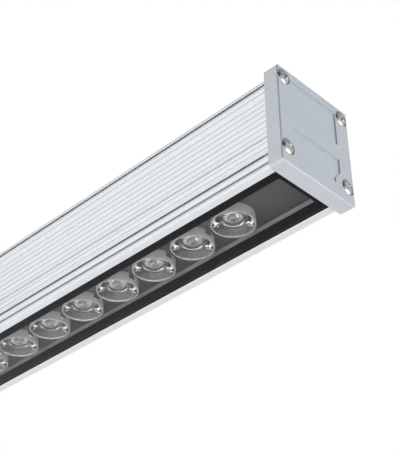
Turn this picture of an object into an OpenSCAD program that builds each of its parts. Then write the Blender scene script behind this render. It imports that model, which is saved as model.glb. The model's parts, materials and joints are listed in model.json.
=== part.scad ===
// Linear LED wall washer: an extruded aluminium housing with a glass face, a row of
// lensed LEDs, two die-cast end caps and two hinged brackets that slide on a rail in
// the back. X runs along the length with the plain end at +X. Z points out of the back,
// so the light leaves towards -Z. The origin is in the mouth of the rail, halfway along.

/* [Housing] */
// Length over both end caps
overall_length = 1000; // [500:1:1200]
// Width of the extruded profile
body_width = 43.8; // [43:0.1:46]
// Height of the extruded profile, from the glass side to the back
body_height = 49.5; // [48:0.1:54]
// Thickness of the side and back walls
body_wall = 1.8; // [1.5:0.1:2]
// Radius of the two long edges at the back
back_edge_radius = 2.2; // [1.8:0.1:3]
// Thickness of the web that carries the LED boards
web_thickness = 3; // [2.5:0.1:4]
// Width of the side groove that opens each screw port
port_slot_width = 1.2; // [1:0.1:1.6]
// Height of the lower groove's middle above its port's axis
port_slot_shift = 0.55; // [0:0.05:0.6]
// Radius of the screw ports that run through the profile
port_radius = 1.7; // [1.6:0.05:1.8]
// Distance of each port's axis from the side face
port_side_inset = 2.24; // [2.2:0.01:2.6]
// Distance of the upper ports' axes from the back face
port_back_inset = 3.2; // [3.1:0.1:3.4]
// Height of the lower ports' axes above the glass side
port_low_height = 7; // [6.5:0.1:7.5]

/* [Side ribs] */
// Height of the lowest fine groove above the glass side
low_rib_height = 11.4; // [11:0.1:12]
// Pitch of the two lowest fine grooves
low_rib_pitch = 3; // [2.8:0.1:3.1]
// Height of the deeper groove where the main row of ribs starts
rib_row_height = 16.65; // [16.5:0.05:17.5]
// Pitch of the main row of ribs
rib_pitch = 3.08; // [3:0.01:3.2]
// Number of grooves in the main row
rib_count = 8; // [6:1:8]
// Height of the last fine groove, under the upper port slot
top_rib_height = 42.3; // [42:0.1:42.8]
// Width of a fine groove at the face
rib_groove_width = 1.6; // [1:0.1:1.8]
// Width of a fine groove at its floor
rib_floor_width = 0.5; // [0.3:0.1:0.7]
// Depth of a fine groove
rib_groove_depth = 0.45; // [0.3:0.05:0.6]
// Height of the narrow groove just over the lower port slot
slot_rib_height = 9.6; // [9.4:0.1:9.8]
// Height of the square groove in each glass lip
lip_groove_height = 2.9; // [2.7:0.1:3.1]
// Width of that square groove
lip_groove_width = 1.1; // [0.8:0.1:1.3]
// Depth of that square groove
lip_groove_depth = 1.4; // [1:0.1:1.6]
// Height of the slope under each square groove
slope_height = 1.5; // [1:0.1:1.7]
// Depth of that slope at the groove
slope_depth = 0.2; // [0.1:0.05:0.3]

/* [Back rail] */
// Width of the rail's mouth
rail_mouth_width = 6.6; // [6.4:0.1:7]
// Thickness of the lips beside the mouth
rail_lip_thickness = 2; // [1.8:0.1:2.4]
// Width of the channel behind the lips
rail_channel_width = 10.8; // [10.6:0.1:11.2]
// Height of the channel
rail_channel_height = 5.2; // [5:0.1:5.6]

/* [Glass face] */
// Thickness of the glass
glass_thickness = 3; // [2.5:0.1:4]
// Depth of the glass under the lips' faces
glass_recess = 0.2; // [0.1:0.1:0.5]
// Width of each lip beside the glass
lip_width = 4.3; // [4:0.1:4.6]
// Thickness of the printed border behind the glass
border_thickness = 0.15; // [0.1:0.05:0.3]
// Width of the printed border beside the window
border_side_width = 5.9; // [4.6:0.1:7]
// Length of the printed border at each end of the profile
border_end_length = 7.1; // [6:0.1:12]
// Thickness of the seal that beds the glass
seal_thickness = 0.4; // [0.3:0.05:0.5]
// Width of the ledge that the seal lies on
ledge_width = 2.3; // [2:0.1:2.6]

/* [LEDs and lenses] */
// Distance between neighbouring lenses
lens_pitch = 25.72; // [24:0.02:28]
// Least distance from an end cap's face to a lens axis
lens_end_inset = 45; // [40:1:60]
// Outer radius of a lens holder
holder_radius = 10.25; // [9.8:0.05:10.6]
// Height of a lens holder above its board
holder_height = 5; // [4.8:0.1:5.6]
// Wall of a lens holder round the lens front
holder_wall = 0.75; // [0.6:0.05:0.9]
// Width of the notch that faces the next lens
holder_notch_width = 3.6; // [3:0.1:4.5]
// Height of that notch
holder_notch_height = 2.8; // [2:0.1:3]
// Radius of the bowl in the front of a lens
lens_bowl_radius = 5.7; // [5.4:0.1:6.2]
// Gap between the holders and the printed face of the glass
lens_glass_gap = 0.84; // [0.7:0.02:1.5]
// Thickness of an LED board
board_thickness = 1.6; // [1.2:0.1:2]
// Radius of the round body of an LED
led_body_radius = 4; // [3.6:0.1:4.1]
// Radius of the clear dome on that body
led_dome_radius = 2.7; // [2.2:0.1:2.8]

/* [End caps] */
// Width that an end cap stands proud of the profile all round
cap_margin = 2.1; // [1.8:0.1:2.6]
// Thickness of an end cap over its rim
cap_thickness = 7.7; // [7.2:0.1:9]
// Depth of the pocket that takes the profile and its gasket
cap_pocket_depth = 3.2; // [2.8:0.1:3.6]
// Radius of an end cap's upright corners
cap_corner_radius = 1.8; // [1.2:0.1:2.4]
// Radius of the edges round the outer face
cap_edge_radius = 0.9; // [0.5:0.1:1.2]
// Thickness of an end gasket
gasket_thickness = 1; // [0.8:0.1:1.4]
// Depth of the two sunk panels in the outer face
panel_depth = 0.6; // [0.4:0.1:0.8]
// Width of the sunk panels
panel_width = 30.2; // [28:0.1:30.6]
// Radius of an end screw's head
cap_screw_head_radius = 3.75; // [3.5:0.05:3.8]
// Radius of an end screw's shank
cap_screw_radius = 1.65; // [1.55:0.05:1.65]
// Depth of the seat for a screw head
cap_screw_seat_depth = 1.3; // [1:0.1:1.6]

/* [Brackets] */
// Distance of each bracket from the middle of the light
bracket_x = 190; // [100:1:300]
// Height of the hinge axis above the back
hinge_height = 22.3; // [22:0.1:26]
// Thickness of the bracket plates
bracket_plate = 3; // [2.5:0.1:3.5]
// Width of the sliding bracket across the rail
carriage_width = 32; // [28:0.5:33]
// Length of the foot along the light, over its lugs
foot_length = 26; // [24:0.5:30]
// Width of the foot across the light
foot_width = 40; // [36:0.5:41]
// Distance from the hinge axis to the inner face of the foot's plate
foot_reach = 18; // [17.5:0.1:20]
// Radius of the rounded ends round the hinge
knuckle_radius = 8; // [7:0.1:9]
// Radius of the hinge and clamp bolts
bolt_radius = 3; // [2.9:0.05:3.1]
// Width of the slots for the wall screws
foot_slot_width = 5.5; // [4.5:0.1:6]
// Length of those slots
foot_slot_length = 9; // [8:0.1:10]
// Distance between those slots
foot_slot_spacing = 25; // [24:0.1:26]

/* [Driver and cable entry] */
// Length of the driver
driver_length = 200; // [120:1:220]
// Gap between the driver and each side wall
driver_side_gap = 3.1; // [2.5:0.1:6]
// Gap over the driver
driver_top_gap = 4.9; // [3:0.1:8]
// Distance from the left end of the profile to the driver
driver_end_gap = 64; // [50:1:100]
// Radius of the cable that the gland takes
cable_radius = 3.3; // [2.5:0.1:3.5]
// Radius of the gland's thread in the end cap
gland_thread_radius = 6; // [5.5:0.1:6.4]
// Width across the flats of the gland
gland_flats = 17; // [16:0.5:18]

/* [Hidden] */
$fn = 64;

// Clearances and the overrun of cuts
overrun = 1;
slip = 0.1;
bore_slip = 0.05;
body_slip = 0.3;
pocket_slip = 0.15;
right = 1;
left = -1;

// Levels through the housing, from the back at zero down to the lips
lip_z = -body_height;
glass_out_z = lip_z + glass_recess;
glass_in_z = glass_out_z + glass_thickness;
border_top_z = glass_in_z + border_thickness;
seal_top_z = border_top_z + seal_thickness;
board_z = glass_in_z + lens_glass_gap + holder_height;
web_bottom_z = board_z + board_thickness;
web_top_z = web_bottom_z + web_thickness;
rail_channel_z = -rail_lip_thickness - rail_channel_height;
chamber_top_z = rail_channel_z - body_wall;

// Lengths along the light
profile_length = overall_length - 2 * (cap_thickness - cap_pocket_depth + gasket_thickness);
board_end_gap = 4;
board_gap = 1;
board_length = (profile_length - board_gap) / 2 - board_end_gap;

// Widths across the light
seat_width = body_width - 2 * lip_width;
window_width = seat_width - 2 * slip - 2 * border_side_width;
chamber_width = seat_width - 2 * ledge_width;
board_side_gap = 0.3;
board_width = chamber_width - 2 * board_side_gap;
port_y = body_width / 2 - port_side_inset;
port_back_z = -port_back_inset;
port_low_z = lip_z + port_low_height;
lip_edge_radius = 0.4;

// Heights of the fine grooves above the lips
low_rib_count = 2;
rib_heights = concat(
    [for (i = [0 : low_rib_count - 1]) low_rib_height + i * low_rib_pitch],
    [for (i = [0 : rib_count - 1]) rib_row_height + i * rib_pitch],
    [top_rib_height]
);
row_groove_extra = 0.35;
slot_rib_share = 0.55;
slot_zs = [port_back_z, port_low_z + port_slot_shift];

// Lens row: places are symmetrical about the middle
lenses_per_board = floor((overall_length / 2 - lens_end_inset) / lens_pitch + 1 / 2);
lens_places = [for (i = [0 : lenses_per_board - 1]) lens_pitch * (i + 1 / 2)];
lens_front_drop = 0.1;
lens_flange = 0.65;
lens_flange_gap = 0.1;
lens_ledge = 0.25;
lens_base_height = 0.4;
lens_base_radius = 5.3;
lens_wall_gap = 0.25;
lens_cavity_radius = 4.5;
lens_bowl_floor_radius = 4.95;
lens_bowl_floor_height = 1.9;
lens_dome_height = 4.1;
lens_dome_wall = 0.5;
lens_dome_step_count = 5;
led_body_height = 1.3;
led_dome_height = 1.9;
led_lead_reach = 5.9;
led_lead_width = 1.2;
led_lead_thickness = 0.28;

// Board screws sit in the gaps between every fourth pair of lenses
board_screw_step_count = 4;
board_screw_first_count = 2;
board_screw_edge = 2.8;
board_screw_y = -(board_width / 2 - board_screw_edge);
board_screw_places = [
    for (k = [board_screw_first_count : board_screw_step_count : lenses_per_board])
        lens_pitch * k
];
board_screw_radius = 1.25;
board_screw_head_radius = 2.75;
board_screw_head_height = 1.9;
board_screw_hole_radius = 1.6;

// Leads from the driver, through the web, to the connector between the boards
lead_radius = 0.9;
lead_spacing = 2.2;
lead_bend_radius = 3;
lead_edge = 4;
lead_y = board_width / 2 - lead_edge;
grommet_bore_radius = 2.6;
grommet_neck_radius = 3.9;
grommet_flange_radius = 5.2;
grommet_flange_height = 0.8;
lead_hole_radius = 3.4;
lead_z = web_top_z + grommet_flange_height + lead_radius + body_slip;
connector_length = 8;
connector_width = 7;
connector_height = 3.2;
connector_contact_length = 1.2;
connector_contact_depth = 1.6;

// Driver in the upper chamber
pad_thickness = 1;
driver_edge_radius = 2;
driver_bottom_z = web_top_z + pad_thickness;
driver_width = body_width - 2 * (body_wall + driver_side_gap);
driver_height = chamber_top_z - driver_bottom_z - driver_top_gap;
driver_start_x = -profile_length / 2 + driver_end_gap;
driver_seam_width = 0.6;
driver_seam_depth = 0.4;
driver_seam_drop = 3;
driver_pad_inset = 10;
terminal_length = 12;
terminal_width = 21;
terminal_height = 11;
terminal_poles = 3;
terminal_screw_radius = 2;
terminal_screw_depth = 1.5;
terminal_entry_radius = 1.8;
terminal_entry_depth = 8;
terminal_entry_height = 3.5;

// End caps
cap_top_z = cap_margin;
cap_bottom_z = lip_z - cap_margin;
cap_width = body_width + 2 * cap_margin;
cap_floor = cap_thickness - cap_pocket_depth;
cap_screw_hole_radius = 2.1;
cap_screw_head_height = 2.4;
cap_screw_seat_gap = 0.2;
cap_screw_grip = 12;
panel_top_inset = 2.6;
panel_bottom_inset = 5.3;
panel_gap = 8.3;
panel_corner_radius = 0.8;
upper_panel_share = 0.5675;
lower_panel_side_share = 0.52;
lower_panel_taper_share = 0.28;
lower_panel_narrowing = 3.6;
panels_height = body_height - panel_top_inset - panel_bottom_inset - panel_gap;
upper_panel_height = panels_height * upper_panel_share;
lower_panel_height = panels_height - upper_panel_height;

// Cross recess of the screws
recess_width_share = 0.28;
recess_length_share = 1.15;
recess_depth_share = 0.6;
head_crown_share = 0.5;

// Cable gland on the left end cap, drawn with its axis along Z
gland_z = (web_top_z + chamber_top_z) / 2;
gland_washer_thickness = 1.2;
gland_washer_width = 2.2;
gland_flange_height = 4;
gland_shoulder = 0.6;
gland_outer_radius = gland_thread_radius + gland_shoulder;
gland_bore_radius = 4.4;
gland_outer_length = 7;
gland_inner_length = 4.5;
gland_locknut_height = 3.5;
gland_locknut_flats = 15;
gland_nut_gap = 0.4;
gland_nut_height = 8;
gland_crown_height = 3.2;
gland_crown_wall = 1.6;
gland_insert_collar = 0.6;
gland_pad_margin = 1.2;

// Brackets
hinge_washer_thickness = 0.5;
clamp_washer_thickness = 1.2;
washer_radius = 6.2;
washer_slip = 0.1;
bolt_head_flats = 10;
bolt_head_height = 4;
pivot_nut_height = 6;
nut_collar_radius = 4.4;
nut_collar_height = 2;
bend_radius = 2;
ear_gap = hinge_washer_thickness + body_slip;
carriage_length = foot_length + 2 * (ear_gap + bracket_plate);
foot_lug_width = 32;
slot_nut_length = 28;
slot_nut_height = 4.6;
slot_nut_gap = 0.2;

// Extrudes an outline drawn in Y and Z along X, about the middle
module along_x(length) {
    rotate([90, 0, 90]) linear_extrude(length, center = true) children();
}

// A rectangle from bottom to top with its own radii at the top and bottom corners
module rounded_outline(width, top, bottom, top_radius, bottom_radius) {
    height = top - bottom;
    translate([-width / 2 + top_radius, bottom + bottom_radius])
        square([width - 2 * top_radius, height - bottom_radius]);
    translate([-width / 2, bottom + bottom_radius])
        square([width, height - top_radius - bottom_radius]);
    translate([-width / 2 + bottom_radius, bottom])
        square([width - 2 * bottom_radius, height / 2]);
    for (side = [-1, 1]) {
        translate([side * (width / 2 - top_radius), top - top_radius]) circle(top_radius);
        translate([side * (width / 2 - bottom_radius), bottom + bottom_radius])
            circle(bottom_radius);
    }
}

// A rectangle that stands on the axis with only its two upper corners rounded
module arched_outline(width, height, radius) {
    translate([-width / 2, 0]) square([width, height - radius]);
    translate([-width / 2 + radius, 0]) square([width - 2 * radius, height]);
    for (side = [-1, 1])
        translate([side * (width / 2 - radius), height - radius]) circle(radius);
}

// Outline of the profile, grown by a margin for the pockets that take it
module housing_outline(margin = 0) {
    rounded_outline(
        body_width + 2 * margin, margin, lip_z - margin,
        back_edge_radius + margin, lip_edge_radius + margin
    );
}

// Fine tapered groove in both side faces at a height above the lips
module rib_groove(height, extra_depth = 0, share = 1) {
    depth = rib_groove_depth * share + extra_depth;
    mouth = rib_groove_width * share;
    throat = rib_floor_width * share;
    face_y = body_width / 2;
    for (side = [-1, 1])
        translate([side * face_y, lip_z + height])
            polygon([
                [0, -mouth / 2], [0, mouth / 2],
                [-side * depth, throat / 2], [-side * depth, -throat / 2],
            ]);
}

// Slope in both side faces from the lower edge of a square groove down to the face
module groove_slope(top_z) {
    face_y = body_width / 2;
    for (side = [-1, 1])
        translate([side * face_y, top_z])
            polygon([
                [0, overrun], [-side * slope_depth, overrun],
                [-side * slope_depth, 0], [0, -slope_height],
            ]);
}

// Driver chamber with its two pockets beside the rail
module driver_chamber_outline() {
    width = body_width - 2 * body_wall;
    pocket_in = rail_channel_width / 2 + body_wall;
    pocket_out = port_y - port_radius - body_wall;
    translate([-width / 2, web_top_z]) square([width, chamber_top_z - web_top_z]);
    for (side = [-1, 1])
        translate([side * (pocket_in + pocket_out) / 2, 0])
            translate([-(pocket_out - pocket_in) / 2, chamber_top_z - body_wall])
                square([pocket_out - pocket_in, -chamber_top_z]);
}

// Section of the extruded profile
module housing_profile() {
    difference() {
        housing_outline();
        translate([-seat_width / 2, lip_z - overrun])
            square([seat_width, seal_top_z - lip_z + overrun]);
        translate([-chamber_width / 2, lip_z])
            square([chamber_width, web_bottom_z - lip_z]);
        driver_chamber_outline();
        translate([-rail_mouth_width / 2, rail_channel_z])
            square([rail_mouth_width, overrun - rail_channel_z]);
        translate([-rail_channel_width / 2, rail_channel_z])
            square([rail_channel_width, rail_channel_height]);
        for (side = [-1, 1], z = [port_back_z, port_low_z])
            translate([side * port_y, z]) circle(port_radius);
        for (side = [-1, 1], z = slot_zs)
            translate([side * (port_y + body_width / 2) / 2, z])
                square([port_side_inset + 2 * slip, port_slot_width], center = true);
        for (z = slot_zs)
            groove_slope(z - port_slot_width / 2);
        for (side = [-1, 1])
            translate([side * body_width / 2, lip_z + lip_groove_height])
                square([2 * lip_groove_depth, lip_groove_width], center = true);
        groove_slope(lip_z + lip_groove_height - lip_groove_width / 2);
        for (height = rib_heights)
            rib_groove(height, height == rib_row_height ? row_groove_extra : 0);
        rib_groove(slot_rib_height, 0, slot_rib_share);
    }
}

module housing() {
    color("silver") difference() {
        along_x(profile_length) housing_profile();
        for (side = [-1, 1], x = board_screw_places)
            translate([side * x, board_screw_y, web_bottom_z - overrun])
                cylinder(h = web_thickness + 2 * overrun, r = board_screw_radius + bore_slip);
        translate([0, lead_y, web_bottom_z - overrun])
            cylinder(h = web_thickness + 2 * overrun, r = grommet_neck_radius + slip);
    }
}

// A flat frame round a window, used by the printed border and the seal
module window_frame(z, thickness, width, window, end) {
    translate([0, 0, z + thickness / 2]) difference() {
        cube([profile_length, width, thickness], center = true);
        cube([profile_length - 2 * end, window, thickness + 2 * overrun], center = true);
    }
}

module cover_glass() {
    color("powderblue", 0.4)
        translate([0, 0, glass_out_z + glass_thickness / 2])
            cube([profile_length, seat_width - 2 * slip, glass_thickness], center = true);
}

module glass_border() {
    color([0.06, 0.06, 0.07])
        window_frame(
            glass_in_z, border_thickness, seat_width - 2 * slip, window_width,
            border_end_length
        );
}

module glass_seal() {
    color([0.2, 0.2, 0.2])
        window_frame(
            border_top_z, seal_thickness, seat_width - 2 * slip, chamber_width, ledge_width
        );
}

// LED board from the middle to one end, notched where the leads come through
module led_board(side) {
    color([0.16, 0.16, 0.17]) difference() {
        translate([side * (board_gap + board_length) / 2, 0, board_z + board_thickness / 2])
            cube([board_length, board_width, board_thickness], center = true);
        translate([0, lead_y, board_z - overrun])
            cylinder(h = board_thickness + 2 * overrun, r = lead_hole_radius);
        for (x = board_screw_places)
            translate([side * x, board_screw_y, board_z - overrun])
                cylinder(h = board_thickness + 2 * overrun, r = board_screw_hole_radius);
    }
}

// Repeats a piece at every lens place of one board, facing the glass
module on_lens_places(side) {
    for (x = lens_places)
        translate([side * x, 0, board_z]) rotate([180, 0, 0]) children();
}

// LED: a round body with a lead on either side and a clear dome
module led() {
    dome_sphere_radius = (pow(led_dome_radius, 2) + pow(led_dome_height, 2)) / (2 * led_dome_height);
    cylinder(h = led_body_height, r = led_body_radius);
    translate([0, 0, led_lead_thickness / 2])
        cube([2 * led_lead_reach, led_lead_width, led_lead_thickness], center = true);
    translate([0, 0, led_body_height]) intersection() {
        translate([0, 0, led_dome_height - dome_sphere_radius]) sphere(dome_sphere_radius);
        cylinder(h = led_dome_height, r = led_body_radius);
    }
}

module led_row(side) {
    color("lemonchiffon") on_lens_places(side) led();
}

// Holder: a skirt with a ledge inside that the lens rests on, and two notches
module lens_holder() {
    bore_radius = holder_radius - holder_wall;
    ledge_z = holder_height - lens_front_drop - lens_flange - slip;
    difference() {
        cylinder(h = holder_height, r = holder_radius);
        translate([0, 0, -overrun])
            cylinder(h = holder_height + 2 * overrun, r = bore_radius - lens_ledge);
        translate([0, 0, ledge_z]) cylinder(h = holder_height, r = bore_radius);
        translate([0, 0, holder_notch_height / 2 - overrun])
            cube(
                [2 * (holder_radius + overrun), holder_notch_width,
                holder_notch_height + 2 * overrun], center = true
            );
    }
}

module holder_row(side) {
    color([0.62, 0.63, 0.64]) on_lens_places(side) lens_holder();
}

// Collimator lens: a conical ring under a flange, with a bowl in front and a thin dome
// in its middle that clears the LED
module collimator_lens() {
    front = holder_height - lens_front_drop;
    bore_radius = holder_radius - holder_wall;
    flange_radius = bore_radius - lens_flange_gap;
    wall_radius = bore_radius - lens_ledge - lens_wall_gap;
    dome_rise = lens_dome_height - lens_bowl_floor_height;
    cavity_rise = lens_dome_height - lens_dome_wall - lens_base_height;
    quarter = 90;
    turns = [for (i = [0 : lens_dome_step_count]) quarter * i / lens_dome_step_count];
    rotate_extrude()
        polygon(concat(
            [for (turn = turns) [
                lens_cavity_radius * sin(turn), lens_base_height + cavity_rise * cos(turn),
            ]],
            [
                [lens_base_radius, lens_base_height],
                [wall_radius, front - lens_flange],
                [flange_radius, front - lens_flange],
                [flange_radius, front],
                [lens_bowl_radius, front],
            ],
            [for (turn = turns) [
                lens_bowl_floor_radius * cos(turn), lens_bowl_floor_height + dome_rise * sin(turn),
            ]]
        ));
}

module lens_row(side) {
    color("white", 0.5) on_lens_places(side) collimator_lens();
}

// Pan-head screw with a cross recess, its head standing on the XY plane
module pan_screw(head_radius, head_height, shank_radius, shank_length) {
    rim = head_height * (1 - head_crown_share);
    crown = head_height - rim;
    ball = (head_radius * head_radius + crown * crown) / (2 * crown);
    translate([0, 0, -shank_length]) cylinder(h = shank_length + rim / 2, r = shank_radius);
    difference() {
        intersection() {
            cylinder(h = head_height + overrun, r = head_radius);
            translate([0, 0, head_height - ball]) sphere(ball, $fn = 96);
            translate([0, 0, head_height / 2])
                cube([3 * head_radius, 3 * head_radius, head_height], center = true);
        }
        for (turn = [0, 90])
            rotate([0, 0, turn])
                translate([0, 0, head_height])
                    cube(
                        [head_radius * recess_length_share, head_radius * recess_width_share,
                        2 * head_height * recess_depth_share], center = true
                    );
    }
}

module board_screws() {
    color("gainsboro")
        for (side = [-1, 1], x = board_screw_places)
            translate([side * x, board_screw_y, board_z])
                rotate([180, 0, 0])
                    pan_screw(
                        board_screw_head_radius, board_screw_head_height,
                        board_screw_radius, board_thickness + web_thickness
                    );
}

// Block that joins the leads to both boards
module board_connector() {
    color("white")
        translate([0, lead_y, board_z - connector_height / 2]) difference() {
            cube([connector_length, connector_width, connector_height], center = true);
            for (side = [-1, 1])
                translate([side * connector_length / 4, 0, -connector_height / 2])
                    cube(
                        [connector_contact_length, connector_width / 2,
                        2 * connector_contact_depth], center = true
                    );
        }
}

module lead_grommet() {
    color([0.12, 0.12, 0.12])
        translate([0, lead_y, web_bottom_z]) difference() {
            union() {
                cylinder(h = web_thickness, r = grommet_neck_radius);
                translate([0, 0, web_thickness])
                    cylinder(h = grommet_flange_height, r = grommet_flange_radius);
            }
            translate([0, 0, -overrun])
                cylinder(
                    h = web_thickness + grommet_flange_height + 2 * overrun,
                    r = grommet_bore_radius
                );
        }
}

// Two leads: along the web, round a bend and down through the grommet
module output_leads() {
    start_x = driver_start_x + driver_length;
    color("firebrick")
        for (side = [-1, 1])
            translate([0, lead_y + side * lead_spacing / 2, lead_z]) {
                translate([start_x, 0, 0]) rotate([0, 90, 0])
                    cylinder(h = -start_x - lead_bend_radius, r = lead_radius);
                translate([-lead_bend_radius, 0, -lead_bend_radius])
                    rotate([90, 0, 0])
                        rotate_extrude(angle = 90)
                            translate([lead_bend_radius, 0]) circle(lead_radius);
                translate([0, 0, board_z - lead_z])
                    cylinder(h = lead_z - board_z - lead_bend_radius, r = lead_radius);
            }
}

// Potted driver with a seam under its lid
module driver_case() {
    seam_z = driver_bottom_z + driver_height - driver_seam_drop;
    color("lightgray")
        translate([driver_start_x + driver_length / 2, 0, 0]) along_x(driver_length)
            difference() {
                rounded_outline(
                    driver_width, driver_bottom_z + driver_height, driver_bottom_z,
                    driver_edge_radius, driver_edge_radius
                );
                for (side = [-1, 1])
                    translate([side * driver_width / 2, seam_z])
                        square([2 * driver_seam_depth, driver_seam_width], center = true);
            }
}

module driver_pad() {
    pad_length = driver_length - 2 * driver_pad_inset;
    color("lightpink")
        translate([driver_start_x + driver_length / 2, 0, web_top_z + pad_thickness / 2])
            cube([pad_length, driver_width - driver_pad_inset, pad_thickness], center = true);
}

// Screw terminals at the driver's input end, facing the cable entry
module input_terminal() {
    pole_pitch = terminal_width / terminal_poles;
    centre_z = driver_bottom_z + driver_height / 2;
    color("seagreen")
        translate([driver_start_x - terminal_length / 2, 0, centre_z]) difference() {
            cube([terminal_length, terminal_width, terminal_height], center = true);
            for (i = [0 : terminal_poles - 1])
                translate([0, (i - (terminal_poles - 1) / 2) * pole_pitch, 0]) {
                    translate([0, 0, terminal_height / 2 - terminal_screw_depth])
                        cylinder(h = terminal_height, r = terminal_screw_radius);
                    translate([-terminal_length / 2 - overrun, 0,
                        terminal_entry_height - terminal_height / 2])
                        rotate([0, 90, 0])
                            cylinder(h = terminal_entry_depth, r = terminal_entry_radius);
                }
        }
}

// Places a piece drawn for the right end at one of the two ends
module at_end(side) {
    mirror([side == left ? 1 : 0, 0, 0]) translate([overall_length / 2, 0, 0]) children();
}

// Outer block of an end cap with rounded corners and face edges, its face at zero
module cap_block() {
    height = cap_top_z - cap_bottom_z;
    middle_z = (cap_top_z + cap_bottom_z) / 2;
    intersection() {
        translate([-cap_thickness / 2, 0, 0]) along_x(cap_thickness)
            rounded_outline(
                cap_width, cap_top_z, cap_bottom_z, cap_corner_radius, cap_corner_radius
            );
        translate([-cap_thickness, 0, middle_z]) rotate([0, 90, 0])
            rotate([90, 0, 0])
                linear_extrude(cap_width + 2 * overrun, center = true)
                    arched_outline(height, cap_thickness, cap_edge_radius);
        translate([-cap_thickness, 0, middle_z]) rotate([0, 0, -90])
            linear_extrude(height + 2 * overrun, center = true)
                arched_outline(cap_width, cap_thickness, cap_edge_radius);
    }
}

// The two sunk panels of the outer face
module cap_panels() {
    half = panel_width / 2;
    narrow = half - lower_panel_narrowing;
    top = -panel_top_inset;
    bottom = lip_z + panel_bottom_inset;
    low = bottom + lower_panel_height;
    shoulder = low - lower_panel_height * lower_panel_side_share;
    waist = shoulder - lower_panel_height * lower_panel_taper_share;
    rounded_outline(
        panel_width, top, top - upper_panel_height, panel_corner_radius, panel_corner_radius
    );
    polygon([
        [-half, low], [half, low], [half, shoulder], [narrow, waist], [narrow, bottom],
        [-narrow, bottom], [-narrow, waist], [-half, shoulder],
    ]);
}

// Places something at the four screw ports, with the ports' axes along X
module at_ports() {
    for (side = [-1, 1], z = [port_back_z, port_low_z])
        translate([0, side * port_y, z]) rotate([0, 90, 0]) children();
}

module end_cap(side) {
    pad_radius = gland_flats / sqrt(3) + gland_pad_margin;
    color("lightsteelblue") at_end(side) difference() {
        cap_block();
        translate([-cap_floor - cap_pocket_depth / 2 - overrun / 2, 0, 0])
            along_x(cap_pocket_depth + overrun) housing_outline(pocket_slip);
        at_ports() {
            translate([0, 0, -cap_thickness - overrun])
                cylinder(h = cap_thickness + 2 * overrun, r = cap_screw_hole_radius);
            translate([0, 0, -cap_screw_seat_depth])
                cylinder(
                    h = cap_screw_seat_depth + overrun,
                    r = cap_screw_head_radius + cap_screw_seat_gap
                );
        }
        difference() {
            translate([-panel_depth / 2 + overrun / 2, 0, 0])
                along_x(panel_depth + overrun) cap_panels();
            if (side == left)
                translate([-cap_thickness, 0, gland_z]) rotate([0, 90, 0])
                    cylinder(h = cap_thickness + 2 * overrun, r = pad_radius);
        }
        if (side == left)
            translate([-cap_thickness, 0, gland_z]) rotate([0, 90, 0])
                cylinder(h = cap_thickness + overrun, r = gland_thread_radius + slip);
    }
}

module end_gasket(side) {
    color([0.35, 0.35, 0.36]) at_end(side)
        translate([-cap_floor - gasket_thickness / 2, 0, 0]) along_x(gasket_thickness)
            difference() {
                housing_outline();
                translate([-(body_width - 4 * body_wall) / 2, web_top_z + body_wall])
                    square([
                        body_width - 4 * body_wall, chamber_top_z - web_top_z - 2 * body_wall
                    ]);
                for (hand = [-1, 1], z = [port_back_z, port_low_z])
                    translate([hand * port_y, z]) circle(cap_screw_radius + bore_slip);
            }
}

module cap_screws(side) {
    shank = cap_floor - cap_screw_seat_depth + gasket_thickness + cap_screw_grip;
    color("gainsboro") at_end(side)
        at_ports()
            translate([0, 0, -cap_screw_seat_depth])
                pan_screw(
                    cap_screw_head_radius, cap_screw_head_height, cap_screw_radius, shank
                );
}

// Places a gland piece, drawn along Z from the cap's face outwards
module at_gland() {
    translate([-overall_length / 2, 0, gland_z]) rotate([0, -90, 0]) children();
}

// Hexagon of a given width across its flats
module hexagon(flats, height) {
    cylinder(h = height, r = flats / sqrt(3), $fn = 6);
}

module gland_washer() {
    color([0.12, 0.12, 0.12]) at_gland() difference() {
        cylinder(h = gland_washer_thickness, r = gland_thread_radius + gland_washer_width);
        translate([0, 0, -overrun])
            cylinder(
                h = gland_washer_thickness + 2 * overrun, r = gland_thread_radius + bore_slip
            );
    }
}

module gland_body() {
    inner = cap_floor + gland_inner_length;
    outer = gland_washer_thickness + gland_flange_height + gland_outer_length;
    color([0.1, 0.1, 0.11]) at_gland() difference() {
        union() {
            translate([0, 0, -inner])
                cylinder(h = inner + gland_washer_thickness + overrun, r = gland_thread_radius);
            translate([0, 0, gland_washer_thickness]) hexagon(gland_flats, gland_flange_height);
            translate([0, 0, gland_washer_thickness])
                cylinder(h = outer - gland_washer_thickness, r = gland_outer_radius);
        }
        translate([0, 0, -inner - overrun])
            cylinder(h = inner + outer + 2 * overrun, r = gland_bore_radius);
    }
}

module gland_locknut() {
    color([0.1, 0.1, 0.11]) at_gland()
        translate([0, 0, -cap_floor - gland_locknut_height]) difference() {
            hexagon(gland_locknut_flats, gland_locknut_height);
            translate([0, 0, -overrun])
                cylinder(
                    h = gland_locknut_height + 2 * overrun, r = gland_thread_radius + bore_slip
                );
        }
}

// Rubber insert: a sleeve in the body's bore with a collar under the nut
module gland_insert() {
    outer = gland_washer_thickness + gland_flange_height + gland_outer_length;
    color([0.15, 0.15, 0.15]) at_gland() difference() {
        union() {
            translate([0, 0, outer - gland_outer_length])
                cylinder(h = gland_outer_length + slip, r = gland_bore_radius - bore_slip);
            translate([0, 0, outer]) cylinder(h = gland_insert_collar, r = gland_outer_radius);
        }
        cylinder(h = outer + gland_insert_collar + overrun, r = cable_radius);
    }
}

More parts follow.
